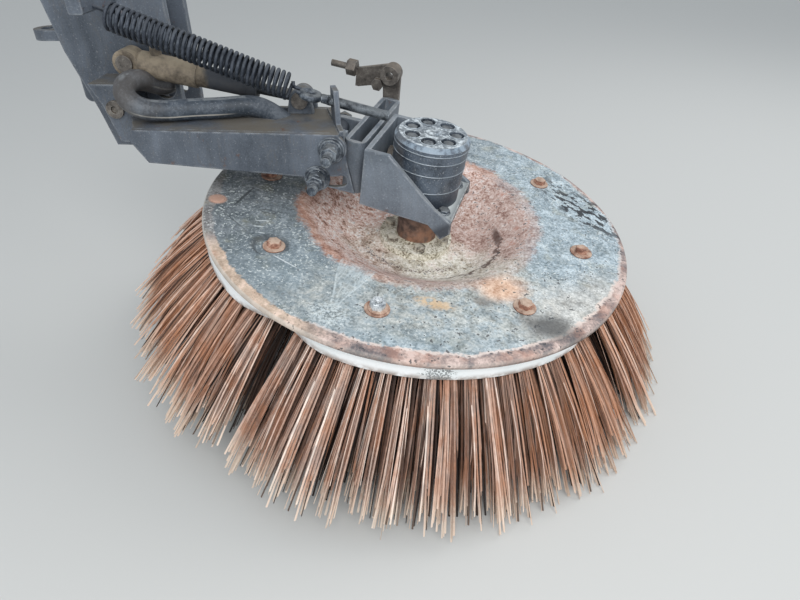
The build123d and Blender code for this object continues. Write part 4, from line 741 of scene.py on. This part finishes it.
# %% Wire finish
wire = Finish("bristle_wire")
tone = wire.node("Attribute", {"attribute_name": "tone"}, {}, "Fac")
spot = wire.on_head()
height = wire.part_of(spot, "Z")
across = wire.part_of(spot, "X")
mottle = wire.noise(170, 5.0)
wire.colour = wire.ramp(
    tone * 0.8 + mottle * 0.2,
    (0.12, 30, 21, 18),
    (0.28, 82, 58, 46),
    (0.46, 142, 106, 88),
    (0.62, 216, 180, 160),
    (0.82, 250, 230, 216),
)
bundle = wire.noise(34, 2.0, wire.flat(spot))
lit = wire.step(tone, 0.2, 0.45)
wire.lay(wire.step(bundle, 0.52, 0.62) * lit * 0.4, (184, 122, 84))
wire.lay(wire.step(bundle, 0.48, 0.38) * lit * 0.4, (158, 144, 138))
browner = wire.step(across, -0.1, -0.3).most(wire.step(across, 0.12, 0.34))
wire.lay(browner * 0.42 * lit, (188, 124, 78))
scoured = wire.step(height + (mottle - 0.5) * 0.05, -0.145, -0.195)
wire.lay(scoured * 0.6 * wire.step(tone, 0.1, 0.4), (242, 228, 210))
shadowed = wire.step(height, -0.1, -0.04) * wire.step(tone, 0.45, 0.25)
wire.lay(shadowed * 0.75, (30, 22, 20))
bristle_wire = wire.surface(0.62 + mottle * 0.2, wire.bump(mottle, 0.0003), 0.15)


# %% [markdown]
# ## Workshop helpers
# Most small parts of a machine are turned or hexagonal, so a lathe, a hexagon and a thread make nearly
# all of them. Each returns a small mesh at the place it is given, and a last helper joins such meshes
# into one piece, gives it its finish and lets it ride on its body.

# %% Places
def at(place, along, turn=0.0):
    # A frame at a place, with z along a direction
    lean = Vector(along).to_track_quat("Z", "Y").to_matrix().to_4x4()
    return Matrix.Translation(place) @ lean @ Matrix.Rotation(math.radians(turn), 4, "Z")


def on_head(x, y, z, turn=0.0):
    return HEAD @ Matrix.Translation((x, y, z)) @ Matrix.Rotation(math.radians(turn), 4, "Z")


def polar(radius, degrees):
    angle = math.radians(degrees)
    return radius * math.cos(angle), radius * math.sin(angle)


# %% Lines, circles and how they grow
def outline(points, closed=False):
    # An open or closed line of (radius, height) pairs, ready to be spun
    bm = bmesh.new()
    verts = [bm.verts.new((radius, 0, height)) for radius, height in points]
    for start, end in zip(verts, verts[1:]):
        bm.edges.new((start, end))
    if closed:
        bm.edges.new((verts[-1], verts[0]))
    return bm


def hoop_section(sides, radius, far, height=0.0):
    # A circle that stands so far from the axis, ready to be spun
    bm = bmesh.new()
    circle = bmesh.ops.create_circle(bm, segments=sides, radius=radius)["verts"]
    bmesh.ops.rotate(bm, verts=circle, matrix=Matrix.Rotation(math.radians(90), 3, "X"))
    bmesh.ops.translate(bm, verts=circle, vec=(far, 0, height))
    return bm


def spin(bm, steps, turns=1, **more):
    # Round the z axis, all that is in the mesh so far
    geom = bm.verts[:] + bm.edges[:]
    bmesh.ops.spin(bm, geom=geom, axis=(0, 0, 1), angle=math.tau * turns, steps=steps, **more)
    bmesh.ops.remove_doubles(bm, verts=bm.verts, dist=1e-6)


def extruded(bm, edges, by):
    # Draws a loop of edges out, and returns the vertices and the edges of its far end
    grown = bmesh.ops.extrude_edge_only(bm, edges=edges)["geom"]
    verts = [item for item in grown if isinstance(item, bmesh.types.BMVert)]
    bmesh.ops.translate(bm, verts=verts, vec=by)
    lines = [item for item in grown if isinstance(item, bmesh.types.BMEdge)]
    return verts, [line for line in lines if set(line.verts) <= set(verts)]


def moved(bm, place):
    # Faces outwards, then to its place
    bmesh.ops.recalc_face_normals(bm, faces=bm.faces)
    bmesh.ops.transform(bm, matrix=place, verts=bm.verts)
    return bm


# %% Lathe and washer
def lathe(profile, place, steps=40, closed=False):
    # A turned part; a closed profile makes a ring
    bm = outline(profile, closed)
    spin(bm, steps, use_merge=True)
    return moved(bm, place)


def washer(inner, outer, thick, place):
    rim = min(0.0006, thick * 0.3)
    under = [(inner, 0), (outer - rim, 0), (outer, rim)]
    over = [(outer, thick - rim), (outer - rim, thick), (inner, thick)]
    return lathe(under + over, place, 36, closed=True)


# %% Hexagon and thread
M16 = 0.008


def bevel(bm, edges, offset, segments):
    bmesh.ops.bevel(
        bm, geom=edges, offset=offset, segments=segments, profile=0.5, affect="EDGES", material=-1
    )


def hexagon(flats, thick, place):
    # A nut or a bolt head: six sides, their upper corners turned off
    bm = bmesh.new()
    corner = flats / math.sqrt(3)
    bmesh.ops.create_cone(bm, cap_ends=True, segments=6, radius1=corner, radius2=corner, depth=thick)
    bmesh.ops.translate(bm, verts=bm.verts, vec=(0, 0, thick / 2))
    top = [edge for edge in bm.edges if min(vert.co.z for vert in edge.verts) > thick * 0.9]
    bevel(bm, top, flats * 0.07, 2)
    sides = [edge for edge in bm.edges if abs(edge.verts[0].co.z - edge.verts[1].co.z) > thick * 0.5]
    bevel(bm, sides, flats * 0.02, 1)
    bmesh.ops.transform(bm, matrix=place, verts=bm.verts)
    return bm


def thread(radius, length, pitch, place):
    # Spinning a saw-tooth line once while it climbs one pitch makes a real screw thread
    count = max(2, round(length / pitch) - 1)
    core = radius - 0.6 * pitch
    saw = [(radius, 0)]
    for tooth in range(count):
        saw += [(core, (tooth + 0.5) * pitch), (radius, (tooth + 1) * pitch)]
    bm = outline(saw)
    spin(bm, 20, dvec=(0, 0, pitch / 20))
    return moved(bm, place)


def stud(radius, length, pitch, place):
    # A threaded end: the thread round a plain core with a chamfered tip
    core = radius - 0.5 * pitch
    profile = [(0, 0), (core, 0), (core, length - 0.001), (core - 0.001, length), (0, length)]
    return [thread(radius, length, pitch, place), lathe(profile, place, 20)]


# %% Joining parts into a piece
def gather(parts):
    whole = bmesh.new()
    for part in parts:
        held = as_mesh(part, "held")
        whole.from_mesh(held)
        bpy.data.meshes.remove(held)
    return whole


def dress(name, mesh, body, finish, replaced=(), sharp=35):
    mesh.name = name
    mesh.materials.clear()
    mesh.materials.append(finish)
    mesh.shade_smooth()
    mesh.set_sharp_from_angle(angle=math.radians(sharp))
    made = bpy.data.objects.new(name, mesh)
    bpy.context.scene.collection.objects.link(made)
    if body:
        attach(made, body)
    if replaced:
        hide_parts(*replaced)
    print(name, "has", len(mesh.polygons), "faces")
    return made


def piece(name, parts, body, finish, replaced=(), sharp=35):
    return dress(name, as_mesh(gather(parts), name), body, finish, replaced, sharp)


# %% [markdown]
# ## Plastic rings
# The tufts are cast into four ring sectors of white plastic, bolted under the disc. Their outer edge
# shows as a bright line under the rim, except near the joints, where the corners are rounded away. A
# rectangle spun through a quarter turn is the sector, and its outer vertices then move inwards near
# both ends. One sector stands 5 mm proud of the others.

# %% Ring sectors
SECTOR_START = 71.1
SECTOR_GAP = 0.25
CORNER_CUT = 0.019
RING_R = 0.341
RING_INSIDE = 0.206
RING_TOP = -0.006
RING_LOW = -0.038
PROUD_SECTOR = 1
PROUD = 0.005
span = 90 - 2 * SECTOR_GAP
ring_profile = [
    (RING_INSIDE, RING_LOW), (RING_R - 0.0005, RING_LOW), (RING_R, RING_LOW + 0.0005),
    (RING_R, RING_TOP - 0.003), (RING_R - 0.003, RING_TOP), (RING_INSIDE, RING_TOP),
]


def ring_edge(from_end):
    # Outer radius of the plastic, so many degrees from the nearer end of a sector
    return RING_R - CORNER_CUT * math.exp(-((from_end / 8.5) ** 2))


for sector in range(4):
    bm = outline(ring_profile, closed=True)
    section = bm.faces.new(bm.verts)
    bmesh.ops.spin(
        bm, geom=[section], axis=(0, 0, 1), angle=math.radians(span), steps=36, use_duplicate=False
    )
    proud = PROUD if sector == PROUD_SECTOR else 0.0
    for vert in bm.verts:
        far = vert.co.xy.length
        if far > 0.3:
            turned_by = math.degrees(math.atan2(vert.co.y, vert.co.x))
            vert.co.xy *= (far - RING_R + proud + ring_edge(min(turned_by, span - turned_by))) / far
    moved(bm, on_head(0, 0, 0, SECTOR_START + 90 * sector + SECTOR_GAP))
    piece(
        f"ring_sector_{sector + 1}", [bm], "brush", block_plastic,
        (f"brush_block_{sector + 1}",), 30,
    )

# %% [markdown]
# ## Bristles
# Each ring sector holds rows of tufts, and each tuft is a bundle of flat wires that leave the plastic
# close together and stay a bundle almost to the road, with dark gaps between. Hair particles would be
# quick, but they aren't mesh and can't ride or be exported. So a few tufts are modelled wire by wire,
# and copies of them, each turned and leaned into its place, fill the sectors.

# %% One tuft
WIRE_STEPS = 5
STRAND_GAP = 0.0082
WIRE_HALVES = (0.0014, 0.0006)


def tuft(seed, count, shade, spread, strands):
    # Wires from z 0 down to z -1; the place of each tuft stretches them to their length
    chance = random.Random(seed)
    bm = bmesh.new()
    tone = bm.verts.layers.float.new("tone")
    for number in range(count):
        side = (number % strands - (strands - 1) / 2) * STRAND_GAP
        root = Vector((chance.uniform(-0.0045, 0.0045), side + chance.uniform(-0.0026, 0.0026), 0))
        stray = 4.0 if chance.random() < 0.05 else 1.0
        tip_x = root.x * 2.2 + chance.gauss(0, 0.006)
        tip_y = root.y * 1.7 + chance.gauss(0, spread) * stray
        tip = Vector((tip_x, tip_y, -chance.choice((0.76, 0.86, 0.92, 0.96, 0.98, 1, 1.01, 1.03, 1.05))))
        bow = Vector((chance.gauss(0.006, 0.003), chance.gauss(0, 0.0014), 0))
        own = min(1, max(0, chance.gauss(shade, 0.19)))
        section = bmesh.ops.create_circle(bm, cap_ends=True, segments=4, radius=1)["verts"]
        flat = Matrix.Rotation(chance.uniform(0, math.pi), 4, "Z") @ Matrix.Diagonal((*WIRE_HALVES, 1, 1))
        bmesh.ops.transform(bm, matrix=Matrix.Translation(root) @ flat, verts=section)
        ring = list({edge for vert in section for edge in vert.link_edges})
        wire_verts = list(section)
        before = root
        for step in range(1, WIRE_STEPS + 1):
            share = step / WIRE_STEPS
            centre = root.lerp(tip, share) + bow * math.sin(math.pi * share)
            section, ring = extruded(bm, ring, centre - before)
            wire_verts += section
            before = centre
        bmesh.ops.contextual_create(bm, geom=ring)
        for vert in wire_verts:
            vert[tone] = own
    bmesh.ops.recalc_face_normals(bm, faces=bm.faces)
    return as_mesh(bm, "tuft")


# %% Rows of tufts
ROOT_Z = -0.034
TIP_Z = -0.194
# For each row: how far inside the plastic's edge it stands, the tips' radius, and its tufts' wires,
# tone, spread and strands; the low tone of the inner rows is painted shade between the tufts
rows = [
    (0.014, 0.456, 30, 0.62, 0.0032, 2),
    (0.03, 0.436, 24, 0.3, 0.004, 2),
    (0.06, 0.405, 18, 0.14, 0.006, 1),
    (0.09, 0.37, 16, 0.1, 0.008, 1),
]
tufts = [[tuft(10 * row + number, *rows[row][2:]) for number in range(6)] for row in range(len(rows))]
TUFTS_A_ROW = 18
ROOT_GAP = 2.6
TIP_GAP = 0.8


def rooted(mesh, angle, swing, root_r, tip_r, tip_z):
    # A copy of a tuft with its wires from the root circle to the tip circle, and so far round
    stretch = Matrix.Identity(4)
    stretch.col[2] = (root_r - tip_r, -tip_r * math.tan(math.radians(swing)), ROOT_Z - tip_z, 0)
    copy = mesh.copy()
    copy.transform(on_head(0, 0, 0, angle) @ Matrix.Translation((root_r, 0, ROOT_Z)) @ stretch)
    return copy


for sector in range(4):
    chance = random.Random(100 + sector)
    bm = bmesh.new()
    for row, (inside, tip_r, *_) in enumerate(rows):
        count = TUFTS_A_ROW * (2 if row > 1 else 1)
        for number in range(count - row % 2):
            share = (number + 0.5 + 0.5 * (row % 2)) / count
            along = ROOT_GAP + (90 - 2 * ROOT_GAP) * share
            swing = TIP_GAP + (90 - 2 * TIP_GAP) * share - along + chance.gauss(0, 0.3)
            root_r = ring_edge(min(along, 90 - along)) - inside
            copy = rooted(
                chance.choice(tufts[row]), SECTOR_START + 90 * sector + along + chance.gauss(0, 0.25),
                swing, root_r, tip_r + chance.gauss(0, 0.006), TIP_Z + chance.gauss(0, 0.003),
            )
            bm.from_mesh(copy)
            bpy.data.meshes.remove(copy)
    for vert in bm.verts:
        vert.co.z = max(vert.co.z, GROUND + 0.001)
    dress(
        f"wires_{sector + 1}", as_mesh(bm, "bristles"), "brush", bristle_wire,
        (f"bristles_{sector + 1}",), 60,
    )

# %% [markdown]
# ## Disc
# The disc was pressed from 6 mm plate: a flat ring, a bowl in the middle and a turned-down rim. Years
# of kerbs have left it slightly wavy, and the plate dips at one bolt. A lathe gives the clean pressing,
# bevels round its bends, and a slow noise moves its vertices by under a millimetre.

# %% Pressed disc
PLATE = 0.006
DISC_R = 0.35
BOWL_R = 0.19
FLOOR_R = 0.11
FLOOR_Z = -0.055
BOLT_CIRCLE = 0.265
DIP_DEPTH = 0.0045
DIP_ANGLE = -132
disc_profile = [(0.016, FLOOR_Z), (FLOOR_R, FLOOR_Z), (BOWL_R, 0), (DISC_R, 0), (DISC_R, -0.008)]
bm = lathe(disc_profile, Matrix.Identity(4), 144)
for bend_r, bend_z, offset in ((FLOOR_R, FLOOR_Z, 0.0124), (BOWL_R, 0, 0.0124), (DISC_R, 0, 0.005)):
    bend = [
        edge for edge in bm.edges
        if all(abs(vert.co.xy.length - bend_r) + abs(vert.co.z - bend_z) < 1e-4 for vert in edge.verts)
    ]
    bevel(bm, bend, offset, 6)
long_edges = [edge for edge in bm.edges if edge.calc_length() > 0.04]
bmesh.ops.subdivide_edges(bm, edges=long_edges, cuts=7, use_grid_fill=True)
bmesh.ops.recalc_face_normals(bm, faces=bm.faces)
if sum(face.normal.z for face in bm.faces) < 0:
    bmesh.ops.reverse_faces(bm, faces=bm.faces)
dip = Vector(polar(BOLT_CIRCLE, DIP_ANGLE))
near_dip = [edge for edge in bm.edges if all((vert.co.xy - dip).length < 0.042 for vert in edge.verts)]
bmesh.ops.subdivide_edges(bm, edges=near_dip, cuts=5, use_grid_fill=True)
for vert in bm.verts:
    wave = noise.noise(vert.co * 9) * 0.0009 + noise.noise(vert.co * 31) * 0.0003
    inside = min(1.0, max(0.0, (0.027 - (vert.co.xy - dip).length) / 0.006))
    vert.co.z += wave - DIP_DEPTH * inside * inside * (3 - 2 * inside)
bmesh.ops.solidify(bm, geom=bm.faces[:], thickness=PLATE)
bmesh.ops.transform(bm, matrix=HEAD, verts=bm.verts)
piece("pressed_disc", [bm], "brush", disc_paint, ("brush_disc",), 40)

# %% [markdown]
# ## Bolts through the disc
# Eight bolts hold the plastic rings. They were swapped over the years: most are rusty heads on a wide
# washer, one is a newer zinc nut with its thread end on top, its near-white colour partly painted glare.
# Alike bolts would look copied, so each gets its own turn and height.

# %% Disc bolts
DIPPED_BOLT = 5
NEWER_BOLT = 6
BORE = 0.0065
rusty = []
newer = []
# The holes are slotted, so each bolt sits a little off its place on the circle: outwards and round
play = {0: (0.008, -0.6), 1: (0.01, 1.2), DIPPED_BOLT: (-0.006, 0.2), 7: (0.001, 2.2)}
for number in range(8):
    outwards, round_by = play.get(number, (0.0, 0.0))
    x, y = polar(BOLT_CIRCLE + outwards, 3 + 45 * number + round_by)
    turn = 37 * number
    if number == NEWER_BOLT:
        rusty.append(washer(BORE, 0.018, 0.0022, on_head(x, y, 0.0003)))
        rusty.append(washer(BORE, 0.0145, 0.002, on_head(x + 0.001, y, 0.0025)))
        newer.append(hexagon(0.0192, 0.0104, on_head(x, y, 0.0045, turn)))
        newer += stud(0.0055, 0.0145, 0.0015, on_head(x, y, 0.0045))
    else:
        low = DIP_DEPTH if number == DIPPED_BOLT else 0.0
        thick = 0.0074 + 0.0006 * (number % 3)
        rusty.append(washer(BORE, 0.018 - 0.0012 * (number % 2), 0.0024, on_head(x, y, 0.0002 - low)))
        rusty.append(hexagon(0.0184, thick, on_head(x, y, 0.0026 - low, turn)))
piece("disc_bolts_rusty", rusty, "brush", rust, ("disc_bolts",))
piece("disc_nut_bright", newer, "brush", zinc_nut_and_glare)

# %% Plugs in the rim and hub bolts
plug_profile = [(0, 0.0018), (0.0082, 0.0018), (0.0105, 0.001), (0.0115, -0.001), (0, -0.001)]
plug_places = [(0.329, -158.2), (0.317, -63.5), (0.322, 27.5), (0.32, 112)]
plugs = [lathe(plug_profile, on_head(*polar(*place), 0), 28) for place in plug_places]
piece("rim_plugs", plugs, "brush", disc_paint)

HUB_CIRCLE = 0.05
HUB_TOP = -0.043
hub_bolts = []
for number in range(6):
    place = polar(HUB_CIRCLE, 60 * number - 8)
    hub_bolts.append(washer(0.005, 0.0098, 0.0018, on_head(*place, HUB_TOP)))
    hub_bolts.append(hexagon(0.0166, 0.0078, on_head(*place, HUB_TOP + 0.0018, 23 * number)))
piece("hub_bolts", hub_bolts, "brush", dusty_bolt)

# %% [markdown]
# ## Motor housing and its bolts
# The housing is a stack of rings with a worn bead at each joint. Its cap has seven deep holes with a
# bolt in each. A face with holes is awkward to turn on a lathe, so the side is turned, and the top is
# filled between its rim and seven circles, whose edges are then drawn down into holes.

# %% Motor housing
BASE_Z = 0.0402
MOTOR_TOP = 0.1435
CAP_HOLES = 7
HOLE_CIRCLE = 0.036
HOLE_R = 0.0118
HOLE_DEPTH = 0.008
profile = [(0.02, BASE_Z), (0.056, BASE_Z), (0.056, 0.0675)]
for joint, wide in ((0.0681, 0.0572), (0.097, 0.0576), (0.117, 0.0584), (0.1305, 0.059)):
    profile += [(wide - 0.0008, joint - 0.0006), (wide + 0.0006, joint - 0.0003)]
    profile += [(wide + 0.0006, joint + 0.0006), (wide, joint + 0.0009)]
profile += [(0.0592, 0.1368), (0.0535, MOTOR_TOP)]
housing = lathe(profile, Matrix.Identity(4), 72)
rim = [edge for edge in housing.edges if all(abs(vert.co.z - MOTOR_TOP) < 1e-5 for vert in edge.verts)]
holes = []
hole_places = [polar(HOLE_CIRCLE, 360 * (number + 0.3) / CAP_HOLES) for number in range(CAP_HOLES)]
for place in hole_places:
    made = bmesh.ops.create_circle(housing, segments=24, radius=HOLE_R)["verts"]
    bmesh.ops.translate(housing, verts=made, vec=(*place, MOTOR_TOP))
    holes.append(list({edge for vert in made for edge in vert.link_edges}))
bmesh.ops.triangle_fill(
    housing, use_beauty=True, edges=rim + [edge for hole in holes for edge in hole], normal=(0, 0, 1)
)
for hole in holes:
    hole_floor = extruded(housing, hole, (0, 0, -HOLE_DEPTH))[1]
    bmesh.ops.contextual_create(housing, geom=hole_floor)
dome = [(0.0, 0.0034), (0.008, 0.003), (0.0125, 0.0008), (0.013, -0.001)]
housing_parts = [moved(housing, HEAD), lathe(dome, on_head(0, 0, MOTOR_TOP), 32)]
for place in hole_places:
    housing_parts.append(washer(HOLE_R + 0.0001, 0.0138, 0.0011, on_head(*place, MOTOR_TOP)))
piece(
    "motor_housing", housing_parts, "arm", motor_iron,
    ("motor_body", "motor_cap", "motor_flange"), 25,
)

# %% Motor bolts
cap_bolts = []
for number, place in enumerate(hole_places):
    cap_bolts.append(washer(0.004, 0.0104, 0.0012, on_head(*place, MOTOR_TOP - HOLE_DEPTH)))
    cap_bolts.append(hexagon(0.0152, 0.0065, on_head(*place, MOTOR_TOP - HOLE_DEPTH + 0.0011, 41 * number)))
piece("cap_bolts", cap_bolts, "arm", oily_zinc, ("motor_bolts",))

CORNER = 0.047
flange_bolts = []
for x, y in ((-CORNER, -CORNER), (CORNER, -CORNER), (CORNER, CORNER), (-CORNER, CORNER)):
    flange_bolts.append(washer(0.005, 0.0105, 0.0016, on_head(x, y, BASE_Z)))
    flange_bolts.append(hexagon(0.0158, 0.0055, on_head(x, y, BASE_Z + 0.0014, 800 * x)))
piece("flange_bolts", flange_bolts, "arm", oily_zinc)

# %% [markdown]
# ## Tilt bolts
# Two long M16 bolts lock the head's tilt. Each has a wide washer, a thinner one, a nut, a lock nut and
# a short end of thread towards the camera. They are the sharpest detail on the arm, so the threads are
# real ones.

# %% Tilt bolts
FLATS = 0.0236
SHANK = 0.156
# Where along y each starts, towards the camera: head, wide washer, thin washer, nut, lock nut, thread end
HEAD_Y, WIDE_Y, THIN_Y, NUT_Y, LOCK_Y, END_Y = (-0.1008, -0.2452, -0.2485, -0.2508, -0.2638, -0.273)
upper_low, upper_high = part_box("tilt_bolt_upper")
lower_low, lower_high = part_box("tilt_bolt_lower")
for name, low, high, nut_turn, lock_turn in (
    ("upper", upper_low, upper_high, 20, 52), ("lower", lower_low, lower_high, 47, 8),
):
    x = (low.x + high.x) / 2
    z = (low.z + high.z) / 2
    out = (0, -1, 0)
    parts = [washer(0.0083, 0.02, 0.0032, at((x, WIDE_Y, z), out))]
    parts.append(washer(0.0083, 0.0165, 0.0022, at((x, THIN_Y, z), out)))
    parts.append(hexagon(FLATS, 0.0125, at((x, NUT_Y, z), out, nut_turn)))
    parts.append(hexagon(FLATS, 0.009, at((x, LOCK_Y, z), out, lock_turn)))
    parts += stud(M16, 0.0215, 0.002, at((x, END_Y, z), out))
    rod = [(0, 0), (0.0076, 0), (0.0076, SHANK), (0, SHANK)]
    parts.append(lathe(rod, at((x, END_Y, z), (0, 1, 0)), 24))
    parts.append(hexagon(FLATS, 0.0125, at((x, HEAD_Y, z), out)))
    piece(f"tilt_stud_{name}", parts, "arm", oily_zinc, (f"tilt_bolt_{name}",))

# %% [markdown]
# ## Eye bolt
# The spring pulls on a forged eye. Its long threaded shank goes through a lug on the arm and is set
# with a nut on each side of it.

# %% Eye bolt
EYE = Vector((0.352, -0.19, -0.058))
slope = math.radians(14)
pull = Vector((math.cos(slope), 0, -math.sin(slope)))
EYE_BAR = 0.006
EYE_R = 0.013
ring = hoop_section(12, EYE_BAR, EYE_R)
spin(ring, 36, use_merge=True)
upright = pull.cross(Vector((0, 1, 0)))
shank = [(0, 0), (0.0068, 0), (0.0072, 0.012), (0.0072, 0.1), (0, 0.1)]
eye_parts = [moved(ring, at(EYE, upright)), lathe(shank, at(EYE + pull * 0.017, pull), 24)]
eye_parts += stud(M16, 0.096, 0.0018, at(EYE + pull * 0.026, pull))
piece("eye_bolt_threaded", eye_parts, "arm", oily_zinc, ("eye_bolt",))

# %% [markdown]
# ## Spring
# An extension spring wound from thick wire, with a hook at each end. A circle spun round the axis while
# it moves along it is a coil. The hooks are short tubes along a line through a few points, like the hose.

# %% Coil
SPRING_FROM = Vector((0.03, -0.19, 0.063))
spring_run = EYE - SPRING_FROM
spring_along = spring_run.normalized()
SPRING_LENGTH = spring_run.length
WIRE_R = 0.0028
COIL_R = 0.018
COIL_START = 0.036
COIL_END = 0.314
TURNS = 34
STEPS_A_TURN = 18

coil = hoop_section(8, WIRE_R, COIL_R, COIL_START + WIRE_R)
climb = (COIL_END - COIL_START - 2 * WIRE_R) / (TURNS * STEPS_A_TURN)
spin(coil, TURNS * STEPS_A_TURN, TURNS, dvec=(0, 0, climb))
bmesh.ops.holes_fill(coil, edges=coil.edges[:], sides=8)
coil_frame = at(SPRING_FROM, spring_along)
moved(coil, coil_frame)
print("coil:", len(coil.faces), "faces")

# %% Hooks
LOOP_LOW = 0.0085
LOOP_HIGH = 0.0142
hook_parts = []
for centre_z, loop_r, coil_z, toward in (
    (SPRING_LENGTH - 0.013, LOOP_LOW, COIL_END - WIRE_R, 1),
    (0.0, LOOP_HIGH, COIL_START + WIRE_R, -1),
):
    route = [
        (COIL_R, 0.004, coil_z),
        (COIL_R * 0.85, -0.003, coil_z + toward * 0.003),
        (loop_r, 0, coil_z + toward * 0.006),
        (loop_r, 0, (coil_z + centre_z) / 2),
        (loop_r, 0, centre_z - toward * 0.003),
        (loop_r, 0, centre_z + toward * loop_r * 0.95),
        (0, 0, centre_z + toward * loop_r * 1.12),
        (-loop_r, 0, centre_z + toward * loop_r * 0.95),
        (-loop_r, 0, centre_z - toward * 0.003),
        (-loop_r * 0.9, 0, centre_z - toward * loop_r * 0.8),
    ]
    tube = drawn_line("hook", route, 2 * WIRE_R)
    bm = bmesh.new()
    bm.from_mesh(tube)
    bpy.data.meshes.remove(tube)
    hook_parts.append(moved(bm, coil_frame))
spring = piece("coil_spring", [coil, *hook_parts], "", spring_wire, ("lift_spring",), 60)
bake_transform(spring)

# %% [markdown]
# ## Hose sleeve
# The tube follows the line that was drawn at the start. Between the post and the arm the real hose
# bends with the lift.

# %% Hose sleeve
sleeve = dress(
    "hose_tube", drawn_line("hose_tube", hose_route, HOSE_WIDTH), "", hose_rubber,
    ("hose_sleeve",), 60,
)
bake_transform(sleeve)

# %% [markdown]
# ## Finishes for the solids
# The rest of the unit is right as it came from CAD, so it only gets its finish: the last material slot
# of each solid is set, and its mesh is never touched.

# %% Assign finishes
by_slot = {
    "arm_paint": arm_paint,
    "bright_steel": zinc,
    "dull_steel": dull_steel,
    "cylinder_paint": beige_dust,
    "rod_chrome": rod_chrome,
    "motor_iron": motor_iron,
    "rusty_steel": rust,
    "disc_paint": disc_paint,
    "block_plastic": block_plastic,
    "bristle_wire": bristle_wire,
    "spring_steel": spring_wire,
    "hose_rubber": hose_rubber,
}
for name, solid in nodes.items():
    finish = by_slot[solid.material_slots[0].name]
    if name.startswith(("bracket_", "tilt_ring", "tilt_lugs")):
        finish = bracket_paint
    if name == "bracket_base":
        finish = base_paint
    if name == "hub":
        finish = hub_finish
    if name == "tilt_spacers":
        finish = spring_wire
    for place in solid.material_slots:
        place.material = finish
print("finished solids:", len(nodes))
